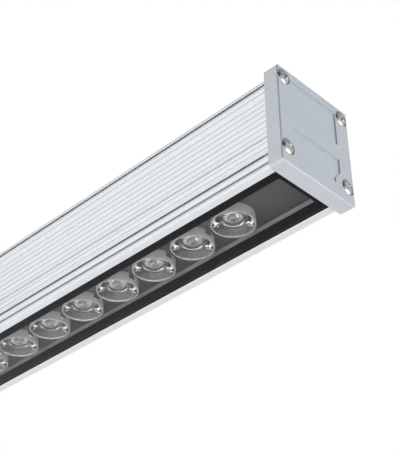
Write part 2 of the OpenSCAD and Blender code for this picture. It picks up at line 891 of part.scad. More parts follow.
// Compression nut: a hexagon with a crown that narrows to the cable's opening
module gland_nut() {
    start = gland_washer_thickness + gland_flange_height + gland_nut_gap;
    shoulder = gland_washer_thickness + gland_flange_height + gland_outer_length
        + gland_insert_collar;
    opening = cable_radius + body_slip;
    crown_radius = gland_flats / 2;
    color([0.1, 0.1, 0.11]) at_gland() difference() {
        union() {
            translate([0, 0, start]) hexagon(gland_flats, gland_nut_height);
            translate([0, 0, start + gland_nut_height])
                cylinder(
                    h = gland_crown_height, r1 = crown_radius, r2 = opening + gland_crown_wall
                );
        }
        translate([0, 0, start - overrun])
            cylinder(h = shoulder - start + overrun, r = gland_outer_radius + bore_slip);
        cylinder(
            h = start + gland_nut_height + gland_crown_height + overrun, r = opening
        );
    }
}

// Places a bracket piece, drawn at the middle of the light, at its side
module at_bracket(side) {
    mirror([side == left ? 1 : 0, 0, 0]) translate([bracket_x, 0, 0]) children();
}

module slot_nut(side) {
    top_z = -rail_lip_thickness - slot_nut_gap;
    color("darkgray") at_bracket(side) difference() {
        translate([0, 0, top_z - slot_nut_height / 2])
            cube(
                [slot_nut_length, rail_channel_width - 4 * slip, slot_nut_height],
                center = true
            );
        translate([0, 0, top_z - slot_nut_height - overrun])
            cylinder(h = slot_nut_height + 2 * overrun, r = bolt_radius + bore_slip);
    }
}

// A channel of bent plate: a web of the given length at the bottom and two upright legs
module channel_section(length, height) {
    outer_radius = bend_radius + bracket_plate;
    inner = length - 2 * bracket_plate;
    difference() {
        translate([0, height / 2]) square([length, height], center = true);
        translate([0, bracket_plate + bend_radius + height / 2])
            square([inner, height], center = true);
        translate([0, bracket_plate + height / 2])
            square([inner - 2 * bend_radius, height], center = true);
        for (side = [-1, 1]) {
            translate([side * (inner / 2 - bend_radius), bracket_plate + bend_radius])
                circle(bend_radius);
            difference() {
                translate([side * length / 2, 0])
                    square([2 * outer_radius, 2 * outer_radius], center = true);
                translate([side * (length / 2 - outer_radius), outer_radius])
                    circle(outer_radius);
            }
        }
    }
}

// Outline of a leg: it tapers from its foot to run into the round end at the hinge
module leg_outline(base_width, height) {
    half = base_width / 2;
    reach = sqrt(half * half + height * height);
    turn = acos(knuckle_radius / reach) - atan2(height, half);
    tangent = [knuckle_radius * cos(turn), height + knuckle_radius * sin(turn)];
    translate([0, height]) circle(knuckle_radius);
    polygon([[-half, 0], [half, 0], tangent, [-tangent.x, tangent.y]]);
}

// A bent channel whose legs end round a hinge hole, standing on the XY plane
module hinge_channel(length, web_width, leg_width, height) {
    tall = height + knuckle_radius;
    difference() {
        intersection() {
            rotate([90, 0, 0])
                linear_extrude(web_width, center = true) channel_section(length, tall);
            union() {
                along_x(length + 2 * overrun) leg_outline(leg_width, height);
                translate([0, 0, bracket_plate / 2])
                    cube([length + 2 * overrun, web_width, bracket_plate], center = true);
            }
        }
        translate([-length / 2 - overrun, 0, height]) rotate([0, 90, 0])
            cylinder(h = length + 2 * overrun, r = bolt_radius + bore_slip);
    }
}

module carriage(side) {
    color("lightgray") at_bracket(side) difference() {
        translate([0, 0, body_slip])
            hinge_channel(
                carriage_length, carriage_width, carriage_width, hinge_height - body_slip
            );
        translate([0, 0, -overrun])
            cylinder(h = bracket_plate + 3 * overrun, r = bolt_radius + slip);
    }
}

// Bolt through the sliding bracket into the nut in the rail, with its washer
module clamp_bolt(side) {
    seat_z = body_slip + bracket_plate;
    tip_z = -rail_lip_thickness - slot_nut_gap - slot_nut_height;
    color("silver") at_bracket(side) {
        translate([0, 0, tip_z])
            cylinder(h = seat_z + clamp_washer_thickness - tip_z + slip, r = bolt_radius);
        translate([0, 0, seat_z]) cylinder(h = clamp_washer_thickness, r = washer_radius);
        translate([0, 0, seat_z + clamp_washer_thickness])
            hexagon(bolt_head_flats, bolt_head_height);
    }
}

// Places something on the hinge axis, drawn along Z from the middle of the bracket
module on_hinge(side) {
    at_bracket(side) translate([0, 0, hinge_height]) rotate([0, 90, 0]) children();
}

module pivot_bolt(side) {
    half = carriage_length / 2 + clamp_washer_thickness;
    color("silver") on_hinge(side) {
        translate([0, 0, -half - pivot_nut_height - overrun])
            cylinder(h = 2 * half + pivot_nut_height + 2 * overrun, r = bolt_radius);
        translate([0, 0, half]) hexagon(bolt_head_flats, bolt_head_height);
    }
}

// Locking nut with a round collar
module pivot_nut(side) {
    half = carriage_length / 2 + clamp_washer_thickness;
    color("silver") on_hinge(side)
        translate([0, 0, -half - pivot_nut_height]) difference() {
            union() {
                translate([0, 0, nut_collar_height])
                    hexagon(bolt_head_flats, pivot_nut_height - nut_collar_height);
                cylinder(h = pivot_nut_height, r = nut_collar_radius);
            }
            translate([0, 0, -overrun])
                cylinder(h = pivot_nut_height + 2 * overrun, r = bolt_radius + bore_slip);
        }
}

// Thin washers beside the foot's lugs and flat ones under the head and the nut
module pivot_washers(side) {
    color("white") on_hinge(side)
        for (turn = [0, 180]) rotate([turn, 0, 0]) {
            translate([0, 0, foot_length / 2 + body_slip])
                washer(hinge_washer_thickness);
            translate([0, 0, carriage_length / 2]) washer(clamp_washer_thickness);
        }
}

module washer(thickness) {
    difference() {
        cylinder(h = thickness, r = washer_radius);
        translate([0, 0, -overrun])
            cylinder(h = thickness + 2 * overrun, r = bolt_radius + washer_slip);
    }
}

// A slot along Y through a plate, given its full length
module slot_cut(width, length) {
    straight = length - width;
    linear_extrude(4 * bracket_plate, center = true) {
        square([width, straight], center = true);
        for (side = [-1, 1]) translate([0, side * straight / 2]) circle(width / 2);
    }
}

// Foot: the plate that is fastened to the wall, hinged on the sliding bracket
module foot(side) {
    height = foot_reach + bracket_plate;
    color("lightgray") at_bracket(side)
        translate([0, 0, hinge_height + height]) rotate([180, 0, 0]) difference() {
            hinge_channel(foot_length, foot_width, foot_lug_width, height);
            for (end = [-1, 1])
                translate([0, end * foot_slot_spacing / 2, 0])
                    slot_cut(foot_slot_width, foot_slot_length);
        }
}

housing();
cover_glass();
glass_border();
glass_seal();
led_board(right);  // led_board_right
led_board(left);  // led_board_left
led_row(right);  // led_row_right
led_row(left);  // led_row_left
holder_row(right);  // holder_row_right
holder_row(left);  // holder_row_left
lens_row(right);  // lens_row_right
lens_row(left);  // lens_row_left
board_screws();
board_connector();
lead_grommet();
output_leads();
driver_case();
driver_pad();
input_terminal();
end_cap(right);  // end_cap_right
end_cap(left);  // end_cap_left
end_gasket(right);  // end_gasket_right
end_gasket(left);  // end_gasket_left
cap_screws(right);  // cap_screws_right
cap_screws(left);  // cap_screws_left
gland_body();
gland_washer();
gland_locknut();
gland_insert();
gland_nut();
slot_nut(right);  // slot_nut_right
carriage(right);  // carriage_right
clamp_bolt(right);  // clamp_bolt_right
pivot_bolt(right);  // pivot_bolt_right
pivot_nut(right);  // pivot_nut_right
pivot_washers(right);  // pivot_washers_right
foot(right);  // foot_right
slot_nut(left);  // slot_nut_left
carriage(left);  // carriage_left
clamp_bolt(left);  // clamp_bolt_left
pivot_bolt(left);  // pivot_bolt_left
pivot_nut(left);  // pivot_nut_left
pivot_washers(left);  // pivot_washers_left
foot(left);  // foot_left
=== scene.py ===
import json
import math
import bmesh
import bpy
from mathutils import Matrix, Quaternion, Vector


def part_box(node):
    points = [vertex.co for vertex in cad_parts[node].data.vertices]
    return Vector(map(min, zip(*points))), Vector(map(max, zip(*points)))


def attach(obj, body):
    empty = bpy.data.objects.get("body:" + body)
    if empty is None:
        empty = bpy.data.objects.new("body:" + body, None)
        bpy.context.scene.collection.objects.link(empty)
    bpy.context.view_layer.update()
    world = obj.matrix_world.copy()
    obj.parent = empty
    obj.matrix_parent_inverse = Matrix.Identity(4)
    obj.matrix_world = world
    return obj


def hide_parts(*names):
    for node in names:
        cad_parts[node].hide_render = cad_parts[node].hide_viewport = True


# An LED wall washer seen from below at its plain end.
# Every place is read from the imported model, so only the finer shapes have sizes here.
print("loading the packed light")
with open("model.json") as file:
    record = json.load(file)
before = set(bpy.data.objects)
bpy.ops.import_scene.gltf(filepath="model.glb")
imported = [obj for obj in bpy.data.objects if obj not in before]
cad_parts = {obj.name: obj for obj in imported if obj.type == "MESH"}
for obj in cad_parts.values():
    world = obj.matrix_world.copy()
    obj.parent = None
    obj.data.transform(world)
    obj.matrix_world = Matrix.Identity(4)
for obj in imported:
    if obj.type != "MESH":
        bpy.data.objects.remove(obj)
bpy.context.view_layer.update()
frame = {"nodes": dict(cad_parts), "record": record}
cadNodes = frame["nodes"]
mm = 0.001
fullTurn = 2 * math.pi
mergeGap = 0.001 * mm
sides = ("right", "left")


# Small helpers

def boxOf(node):
    low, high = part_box(node)
    return Vector(low), Vector(high)


def addObject(name, data):
    thing = bpy.data.objects.new(name, data)
    bpy.context.scene.collection.objects.link(thing)
    return thing


def dataObject(name, points, edges=(), faces=()):
    mesh = bpy.data.meshes.new(name)
    mesh.from_pydata(points, edges, faces)
    return addObject(name, mesh)


def builtObject(name, made, materials=()):
    # an object of what a bmesh holds; the bmesh is freed
    mesh = bpy.data.meshes.new(name)
    made.to_mesh(mesh)
    made.free()
    for material in materials:
        mesh.materials.append(material)
    return addObject(name, mesh)


def plainMesh(thing):
    # what an object's modifiers make of it, as a mesh of its own; the modifiers go
    bpy.context.view_layer.update()
    seen = thing.evaluated_get(bpy.context.evaluated_depsgraph_get())
    mesh = bpy.data.meshes.new_from_object(seen)
    thing.modifiers.clear()
    return mesh


def dropObject(thing):
    mesh = thing.data
    bpy.data.objects.remove(thing)
    bpy.data.meshes.remove(mesh)


# Points of turned profiles, as (radius, height) pairs in millimetres

def arc(centre, radius, start, end, steps):
    # part of a circle, in degrees
    turns = [math.radians(start + (end - start) * i / steps) for i in range(steps + 1)]
    return [(centre[0] + radius * math.cos(t), centre[1] + radius * math.sin(t)) for t in turns]


def quarter(inner, outer, low, high, steps):
    # a quarter of an ellipse, from (outer, low) to (inner, high)
    turns = [math.pi / 2 * i / steps for i in range(steps + 1)]
    return [
        (inner + (outer - inner) * math.cos(t), low + (high - low) * math.sin(t)) for t in turns]


def flank(start, end, power, steps):
    # from start to end, with the height a power of the way across
    shares = [i / steps for i in range(steps + 1)]
    return [
        (start[0] + (end[0] - start[0]) * share, start[1] + (end[1] - start[1]) * share ** power)
        for share in shares]


def profileObject(name, profile):
    points = [(radius * mm, height * mm, 0) for radius, height in profile]
    return dataObject(name, points, [(i, i + 1) for i in range(len(points) - 1)])


# Nodes, the same for shaders and geometry

socketKinds = {bool: "Bool", int: "Int", float: "Float", tuple: "Vector"}


def addNode(tree, kind, wires=(), output=0, **settings):
    # a node with its settings and inputs; gives one of its outputs
    node = tree.nodes.new(kind)
    for label, value in settings.items():
        setattr(node, label, value)
    for label, value in dict(wires).items():
        socket = node.inputs[label]
        for source in value if isinstance(value, list) else [value]:
            if isinstance(source, bpy.types.NodeSocket):
                tree.links.new(source, socket)
            else:
                socket.default_value = source
    return node.outputs[output]


def mathNode(tree, operation, first, second=0.0):
    return addNode(tree, "ShaderNodeMath", {0: first, 1: second}, operation=operation)


def product(tree, first, second):
    return mathNode(tree, "MULTIPLY", first, second)


def vectorOf(tree, x=0.0, y=0.0, z=0.0):
    return addNode(tree, "ShaderNodeCombineXYZ", {"X": x, "Y": y, "Z": z})


def partsOf(tree, vector):
    return addNode(tree, "ShaderNodeSeparateXYZ", {"Vector": vector}).node.outputs


def ramp(tree, value, low, high, toLow=0.0, toHigh=1.0, **settings):
    return addNode(tree, "ShaderNodeMapRange", {
        "Value": value, "From Min": low, "From Max": high, "To Min": toLow, "To Max": toHigh,
    }, **settings)


def startTree(name, kind, inputs, label, outputKind):
    # named inputs and one output; a word in place of a value is the kind of a bare socket
    tree = bpy.data.node_groups.new(name, kind)
    for inputLabel, value in inputs.items():
        bare = isinstance(value, str)
        inputKind = value if bare else socketKinds[type(value)]
        socket = tree.interface.new_socket(
            inputLabel, in_out="INPUT", socket_type="NodeSocket" + inputKind)
        if not bare:
            socket.default_value = value
    tree.interface.new_socket(label, in_out="OUTPUT", socket_type="NodeSocket" + outputKind)
    start, end = tree.nodes.new("NodeGroupInput"), tree.nodes.new("NodeGroupOutput")
    return tree, start.outputs, end.inputs[label]


# Patterns that the finishes share

def softNoise(tree, start):
    return addNode(tree, "ShaderNodeTexNoise", {
        "Vector": start["Vector"], "Scale": start["Scale"], "Detail": 4.0, "Roughness": 0.6})


def lineNoise(tree, start):
    # fine lines along X, as a die or a grinding belt leaves them
    stretch = vectorOf(tree, start["Along"], start["Across"], start["Across"])
    stretched = addNode(
        tree, "ShaderNodeVectorMath", {0: start["Vector"], 1: stretch}, operation="MULTIPLY")
    return addNode(tree, "ShaderNodeTexNoise", {
        "Vector": stretched, "Scale": 1.0, "Detail": 3.0, "Roughness": 0.65})


def flakeCells(tree, start):
    # metal flakes in paint: cells, each with a brightness of its own
    cells = addNode(tree, "ShaderNodeTexVoronoi", {
        "Vector": start["Vector"], "Scale": start["Scale"]}, "Color")
    return addNode(tree, "ShaderNodeSeparateColor", {"Color": cells})


def makePattern(name, draw, low, high, **sizes):
    # a group that spreads what is drawn, from low to high, between its own two limits
    inputs = {"Vector": "Vector", **sizes, "Low": 0.9, "High": 1.1}
    tree, start, end = startTree(name, "ShaderNodeTree", inputs, "Value", "Float")
    spread = ramp(tree, draw(tree, start), low, high, start["Low"], start["High"])
    tree.links.new(spread, end)
    return tree


print("mixing the finishes")
softGrain = makePattern("softGrain", softNoise, 0.3, 0.7, Scale=400.0)
drawnLines = makePattern("drawnLines", lineNoise, 0.3, 0.7, Along=6.0, Across=2500.0)
paintFlakes = makePattern("paintFlakes", flakeCells, 0.0, 1.0, Scale=2200.0)


def patternOf(tree, group, vector, low, high, **sizes):
    node = tree.nodes.new("ShaderNodeGroup")
    node.node_tree = group
    tree.links.new(vector, node.inputs["Vector"])
    for label, value in {"Low": low, "High": high, **sizes}.items():
        node.inputs[label].default_value = value
    return node.outputs["Value"]


def grainOf(tree, vector, scale, low, high):
    return patternOf(tree, softGrain, vector, low, high, Scale=scale)


# Finishes

def startMaterial(name, **settings):
    material = bpy.data.materials.new(name)
    material.use_nodes = True
    tree = material.node_tree
    shader = tree.nodes["Principled BSDF"]
    for label, value in settings.items():
        socket = shader.inputs[label.replace("_", " ")]
        socket.default_value = (*value, 1.0) if isinstance(value, tuple) else value
    coordinates = tree.nodes.new("ShaderNodeTexCoord")
    return material, tree, shader, coordinates.outputs["Object"]


def wireShader(tree, shader, **sources):
    for label, source in sources.items():
        tree.links.new(source, shader.inputs[label.replace("_", " ")])


def tinted(tree, colour, *factors):
    # a colour times one or more patterns
    value = factors[0]
    for factor in factors[1:]:
        value = product(tree, value, factor)
    return addNode(tree, "ShaderNodeVectorMath", {0: colour, "Scale": value}, operation="SCALE")


def addBump(tree, shader, height, distance):
    bump = addNode(tree, "ShaderNodeBump", {
        "Height": height, "Distance": distance, "Strength": 1.0})
    wireShader(tree, shader, Normal=bump)


def letLampsThrough(tree, shader, tint):
    # rays from lamps pass, so that what is behind the clear piece is lit
    clear = addNode(tree, "ShaderNodeBsdfTransparent", {"Color": (*tint, 1.0)})
    shadow = addNode(tree, "ShaderNodeLightPath", {}, "Is Shadow Ray")
    mix = addNode(tree, "ShaderNodeMixShader", {0: shadow, 1: shader.outputs["BSDF"], 2: clear})
    tree.links.new(mix, tree.nodes["Material Output"].inputs["Surface"])


def housingPaintedShadeAndMetal(tree, vector, look):
    # painted shade: the colour is scaled by 1 on the outer skin and by less in the grooves of the
    # two side faces, where shade falls
    parts = partsOf(tree, vector)
    across = mathNode(tree, "ABSOLUTE", parts["Y"])
    depth = ramp(
        tree, across, look["face"] - look["fullDepth"], look["face"] - look["skin"],
        look["deepest"])
    zone = 1.0
    for operation, value, limit in (
            ("GREATER_THAN", across, look["inner"]), ("GREATER_THAN", parts["Z"], look["bottom"]),
            ("LESS_THAN", parts["Z"], look["top"])):
        zone = product(tree, zone, mathNode(tree, operation, value, limit))
    shade = addNode(tree, "ShaderNodeMix", {0: zone, 2: 1.0, 3: depth}, data_type="FLOAT")
    # the metal share is less on the faces of the lips and in the chamber, which are matt
    lips = ramp(
        tree, parts["Z"], look["lipZ"], look["lipZ"] + look["lipFade"], look["lipMetal"],
        look["metal"])
    chamber = mathNode(tree, "LESS_THAN", across, look["chamber"])
    metal = addNode(tree, "ShaderNodeMix", {
        0: chamber, 2: lips, 3: look["chamberMetal"]}, data_type="FLOAT")
    return shade, metal


def anodisedAluminium():
    low, high = boxOf("housing")
    look = {
        "colour": (0.88, 0.895, 0.905), "lines": (0.965, 1.02), "patches": (45.0, 0.975, 1.01),
        "roughness": (0.32, 0.44), "roughAcross": 1400.0, "lineDepth": 0.006 * mm,
        "face": high.y, "skin": 0.02 * mm, "fullDepth": 0.5 * mm, "deepest": 0.76,
        "inner": high.y - 2.9 * mm, "bottom": low.z + 0.25 * mm, "top": high.z - 2.4 * mm,
        "metal": 0.7, "lipMetal": 0.66, "lipZ": low.z + 0.02 * mm, "lipFade": 0.3 * mm,
        "chamber": high.y - 6 * mm, "chamberMetal": 0.03,
    }
    material, tree, shader, vector = startMaterial("anodisedAluminium")
    # shade is the painted shade of the side grooves; metal is the metal share
    shade, metal = housingPaintedShadeAndMetal(tree, vector, look)
    lines = patternOf(tree, drawnLines, vector, *look["lines"])
    patches = grainOf(tree, vector, *look["patches"])
    rough = patternOf(tree, drawnLines, vector, *look["roughness"], Across=look["roughAcross"])
    # the colour carries the drawn lines, the random patches and the painted shade of the grooves
    colour = tinted(tree, look["colour"], lines, patches, shade)
    wireShader(tree, shader, Base_Color=colour, Roughness=rough, Metallic=metal)
    addBump(tree, shader, lines, look["lineDepth"])
    return material


def silverPaint():
    look = {
        "colour": (0.585, 0.615, 0.642), "flakes": (0.88, 1.1), "flakeScale": 5200.0,
        "dust": (2600.0, 0.94, 1.05), "roughness": (700.0, 0.40, 0.52),
        "peel": (1400.0, 0.0, 1.0), "peelDepth": 0.01 * mm,
    }
    material, tree, shader, vector = startMaterial(
        "silverPaint", Metallic=0.55, Coat_Weight=0.12, Coat_Roughness=0.3)
    flakes = patternOf(tree, paintFlakes, vector, *look["flakes"], Scale=look["flakeScale"])
    colour = tinted(tree, look["colour"], flakes, grainOf(tree, vector, *look["dust"]))
    rough = grainOf(tree, vector, *look["roughness"])
    wireShader(tree, shader, Base_Color=colour, Roughness=rough)
    addBump(tree, shader, grainOf(tree, vector, *look["peel"]), look["peelDepth"])
    return material


def solderMask():
    look = {
        "colour": (0.070, 0.068, 0.071), "sheen": (25.0, 0.9, 1.1),
        "grain": (1300.0, 0.93, 1.07), "grainDepth": 0.01 * mm, "roughness": (600.0, 0.32, 0.45),
    }
    material, tree, shader, vector = startMaterial("solderMask", Coat_Weight=0.15)
    grain = grainOf(tree, vector, *look["grain"])
    colour = tinted(tree, look["colour"], grainOf(tree, vector, *look["sheen"]), grain)
    rough = grainOf(tree, vector, *look["roughness"])
    wireShader(tree, shader, Base_Color=colour, Roughness=rough)
    addBump(tree, shader, grain, look["grainDepth"])
    return material


def brushedSteel():
    look = {
        "colour": (0.66, 0.665, 0.67), "lines": (0.9, 1.06), "lineDepth": 0.008 * mm,
        "lineSize": {"Along": 60.0, "Across": 3500.0}, "roughness": (0.26, 0.42),
        "roughSize": {"Along": 40.0, "Across": 1800.0},
    }
    material, tree, shader, vector = startMaterial("brushedSteel", Metallic=1.0)
    lines = patternOf(tree, drawnLines, vector, *look["lines"], **look["lineSize"])
    rough = patternOf(tree, drawnLines, vector, *look["roughness"], **look["roughSize"])
    wireShader(tree, shader, Base_Color=tinted(tree, look["colour"], lines), Roughness=rough)
    addBump(tree, shader, lines, look["lineDepth"])
    return material


def grainFinish(name, colour, grain, rough, bumpDepth=0.0, lamps=None, **settings):
    # a grain in the colour and one in the roughness, each (scale, low, high); a clear piece
    # has its colour in the settings, and lamps is the tint that it gives to light
    material, tree, shader, vector = startMaterial(name, **settings)
    if colour:
        shade = grainOf(tree, vector, *grain)
        wireShader(tree, shader, Base_Color=tinted(tree, colour, shade))
        if bumpDepth:
            addBump(tree, shader, shade, bumpDepth * mm)
    wireShader(tree, shader, Roughness=grainOf(tree, vector, *rough))
    if lamps:
        letLampsThrough(tree, shader, lamps)
    return material


def clearFinish(name, colour, rough, lamps, density):
    return grainFinish(
        name, None, None, rough, lamps=lamps, Base_Color=colour, Transmission_Weight=1.0,
        IOR=density)


def holderPlastic(name, colour):
    return grainFinish(
        name, colour, (300.0, 0.97, 1.03), (600.0, 0.16, 0.22), lamps=(0.5, 0.5, 0.5),
        Transmission_Weight=0.3, IOR=1.46, Specular_IOR_Level=0.5)


finishes = {
    "anodised_housing": anodisedAluminium(),
    "silver_paint": silverPaint(),
    "cover_glass": clearFinish(
        "coverGlassClear", (0.985, 0.985, 0.982), (30.0, 0.0, 0.03), (0.92, 0.92, 0.915), 1.5),
    "black_print": grainFinish(
        "blackPrint", (0.024, 0.022, 0.022), (1500.0, 0.8, 1.2), (500.0, 0.25, 0.4)),
    "circuit_board": solderMask(),
    "lens_holder": holderPlastic("holderPlastic", (0.78, 0.775, 0.775)),
    "clear_lens": clearFinish(
        "clearLens", (0.96, 0.97, 0.98), (200.0, 0.0, 0.05), (0.98, 0.98, 0.98), 1.49),
    # painted light: the LED's white body glows, standing in for the studio light that the lens
    # would gather onto it; the LED itself is not lit
    "led": grainFinish(
        "ledCeramic", (0.92, 0.915, 0.90), (2500.0, 0.9, 1.05), (1500.0, 0.3, 0.45),
        Specular_IOR_Level=0.6, Emission_Color=(1.0, 0.96, 0.88), Emission_Strength=2.2),
    "stainless_screw": grainFinish(
        "polishedSteel", (0.74, 0.72, 0.69), (1500.0, 0.92, 1.05), (2500.0, 0.12, 0.24),
        Metallic=1.0),
    "bracket_steel": brushedSteel(),
    "bolt_steel": grainFinish(
        "boltSteel", (0.7, 0.7, 0.695), (900.0, 0.88, 1.05), (1600.0, 0.22, 0.36),
        Metallic=1.0),
    "black_rubber": grainFinish(
        "blackRubber", (0.022, 0.022, 0.023), (1200.0, 0.9, 1.1), (600.0, 0.6, 0.8), 0.02),
    "grey_silicone": grainFinish(
        "greySilicone", (0.2, 0.2, 0.21), (900.0, 0.9, 1.1), (450.0, 0.5, 0.7), 0.02),
    "gland_plastic": grainFinish(
        "glandPlastic", (0.02, 0.02, 0.022), (2200.0, 0.9, 1.1), (1100.0, 0.38, 0.55), 0.015),
    "white_plastic": grainFinish(
        "whitePlastic", (0.78, 0.78, 0.76), (1500.0, 0.97, 1.03), (750.0, 0.35, 0.5), 0.01),
    "lead_insulation": grainFinish(
        "leadInsulation", (0.42, 0.03, 0.025), (1500.0, 0.9, 1.1), (750.0, 0.35, 0.5), 0.01),
    "driver_metal": grainFinish(
        "driverMetal", (0.6, 0.61, 0.62), (700.0, 0.94, 1.06), (350.0, 0.35, 0.5), 0.01,
        Metallic=0.9),
    "thermal_pad": grainFinish(
        "thermalPad", (0.5, 0.36, 0.4), (900.0, 0.9, 1.1), (450.0, 0.7, 0.9), 0.03),
    "terminal_plastic": grainFinish(
        "terminalPlastic", (0.03, 0.22, 0.08), (1500.0, 0.9, 1.1), (750.0, 0.35, 0.5), 0.01),
}
innerFinishes = {
    # painted shade: the holder's plastic, darker, for the shaded wall of the bore
    "holderBore": holderPlastic("holderBore", (0.33, 0.33, 0.34)),
    "ledDome": clearFinish(
        "ledSilicone", (0.74, 0.67, 0.60), (900.0, 0.02, 0.08), (0.99, 0.98, 0.95), 1.41),
    "ledDie": grainFinish(
        "ledPhosphor", (0.05, 0.044, 0.038), (6000.0, 0.85, 1.1), (3000.0, 0.6, 0.8)),
    "ledCup": grainFinish(
        "ledCup", (0.045, 0.035, 0.028), (2500.0, 0.8, 1.15), (3000.0, 0.3, 0.5)),
}


# Every CAD node takes the finish of its slot; finer pieces replace some of them below
slotOf = {row["node"]: row["material_slot"] for row in frame["record"]["subparts"]}


def dressNode(thing, material):
    if not thing.data.materials:
        thing.data.materials.append(material)
    for slot in thing.material_slots:
        slot.link = "OBJECT"
        slot.material = material


for nodeName, thing in cadNodes.items():
    dressNode(thing, finishes[slotOf[nodeName]])


# Geometry trees

def startGeometry(name, inputs):
    every = {"Geometry": "Geometry", **inputs, "Material": "Material"}
    return startTree(name, "GeometryNodeTree", every, "Geometry", "Geometry")


def openGrid(tree, segments, rows):
    # a grid with the column and the row of each of its points
    grid = addNode(tree, "GeometryNodeMeshGrid", {
        "Vertices X": mathNode(tree, "ADD", segments, 1.0), "Vertices Y": rows})
    index = addNode(tree, "GeometryNodeInputIndex")
    column = mathNode(tree, "FLOOR", mathNode(tree, "DIVIDE", index, rows))
    return grid, column, mathNode(tree, "MODULO", index, rows)


def wrapGrid(tree, grid, turn, radius, height):
    # bends a grid about the Z axis, by shares of a full turn, and closes its seam and poles
    angle = product(tree, turn, fullTurn)
    x = product(tree, radius, mathNode(tree, "COSINE", angle))
    y = product(tree, radius, mathNode(tree, "SINE", angle))
    moved = addNode(tree, "GeometryNodeSetPosition", {
        "Geometry": grid, "Position": vectorOf(tree, x, y, height)})
    return addNode(tree, "GeometryNodeMergeByDistance", {
        "Geometry": moved, "Distance": mergeGap})


def turnedShape(tree, profile, segments):
    # turns a chain of (radius, height) points about the Z axis
    count = addNode(tree, "GeometryNodeAttributeDomainSize", {"Geometry": profile}, "Point Count")
    grid, column, row = openGrid(tree, segments, count)
    position = addNode(tree, "GeometryNodeInputPosition")
    point = partsOf(tree, addNode(tree, "GeometryNodeSampleIndex", {
        "Geometry": profile, "Value": position, "Index": row}, data_type="FLOAT_VECTOR"))
    turn = mathNode(tree, "DIVIDE", column, segments)
    return wrapGrid(tree, grid, turn, point["X"], point["Y"])


def crispEdges(tree, geometry, degrees=32.0):
    # smooth faces with sharp edges where they turn by more than an angle
    smooth = addNode(tree, "GeometryNodeSetShadeSmooth", {
        "Geometry": geometry, "Shade Smooth": True})
    angle = addNode(tree, "GeometryNodeInputMeshEdgeAngle", {}, "Unsigned Angle")
    sharp = addNode(tree, "FunctionNodeCompare", {
        0: angle, 1: math.radians(degrees)}, operation="GREATER_THAN")
    return addNode(tree, "GeometryNodeSetShadeSmooth", {
        "Geometry": smooth, "Selection": sharp, "Shade Smooth": False}, domain="EDGE")


def finishTree(tree, geometry, start, end, painted=True):
    realized = addNode(tree, "GeometryNodeRealizeInstances", {"Geometry": geometry})
    done = addNode(tree, "GeometryNodeSetMaterial", {
        "Geometry": realized, "Selection": painted, "Material": start["Material"]})
    tree.links.new(done, end)
    return tree


def makeTurnedTree():
    tree, start, end = startGeometry("turnedPiece", {"Segments": 48})
    shape = turnedShape(tree, start["Geometry"], start["Segments"])
    return finishTree(tree, crispEdges(tree, shape), start, end)


def makeRowTree():
    # the same piece at every place, each spun by a seeded amount, then laid on its face
    tree, start, end = startGeometry("placedRow", {
        "Piece": "Object", "Spin": 0.0, "Seed": 1, "Turn": (0.0, 0.0, 0.0),
        "Shift": (0.0, 0.0, 0.0), "Own Finish": False})
    piece = addNode(tree, "GeometryNodeObjectInfo", {"Object": start["Piece"]}, "Geometry")
    spin = addNode(tree, "FunctionNodeRandomValue", {
        2: 0.0, 3: start["Spin"], "Seed": start["Seed"]}, 1, data_type="FLOAT")
    placed = addNode(tree, "GeometryNodeInstanceOnPoints", {
        "Points": start["Geometry"], "Instance": piece, "Rotation": vectorOf(tree, z=spin)})
    laid = addNode(tree, "GeometryNodeTransform", {
        "Geometry": placed, "Rotation": start["Turn"], "Translation": start["Shift"]})
    bare = addNode(tree, "FunctionNodeBooleanMath", {0: start["Own Finish"]}, operation="NOT")
    return finishTree(tree, laid, start, end, bare)


def makeCrossTree():
    # cuts a tapered cross recess into a head that faces +Z
    tree, start, end = startGeometry("crossHead", {
        "Segments": 48, "Head Top": 2.4 * mm, "Wing Length": 4.2 * mm, "Wing Width": 1.0 * mm,
        "Recess Depth": 1.5 * mm, "Taper": 0.45})
    head = turnedShape(tree, start["Geometry"], start["Segments"])
    depth = product(tree, start["Recess Depth"], 2.0)
    bar = addNode(tree, "GeometryNodeMeshCube", {
        "Size": vectorOf(tree, start["Wing Length"], start["Wing Width"], depth)})
    position = addNode(tree, "GeometryNodeInputPosition")
    low = addNode(tree, "FunctionNodeCompare", {
        0: partsOf(tree, position)["Z"], 1: 0.0}, operation="LESS_THAN")
    narrow = addNode(tree, "ShaderNodeVectorMath", {
        0: position, 1: vectorOf(tree, start["Taper"], start["Taper"], 1.0)},
        operation="MULTIPLY")
    tapered = addNode(tree, "GeometryNodeSetPosition", {
        "Geometry": bar, "Selection": low, "Position": narrow})
    crossed = addNode(tree, "GeometryNodeTransform", {
        "Geometry": tapered, "Rotation": (0.0, 0.0, fullTurn / 4)})
    wings = addNode(tree, "GeometryNodeMeshBoolean", {
        "Mesh 2": [crossed, tapered]}, operation="UNION", solver="EXACT")
    raised = addNode(tree, "GeometryNodeTransform", {
        "Geometry": wings, "Translation": vectorOf(tree, z=start["Head Top"])})
    cut = addNode(tree, "GeometryNodeMeshBoolean", {
        "Mesh 1": head, "Mesh 2": raised}, operation="DIFFERENCE", solver="EXACT")
    return finishTree(tree, crispEdges(tree, cut), start, end)


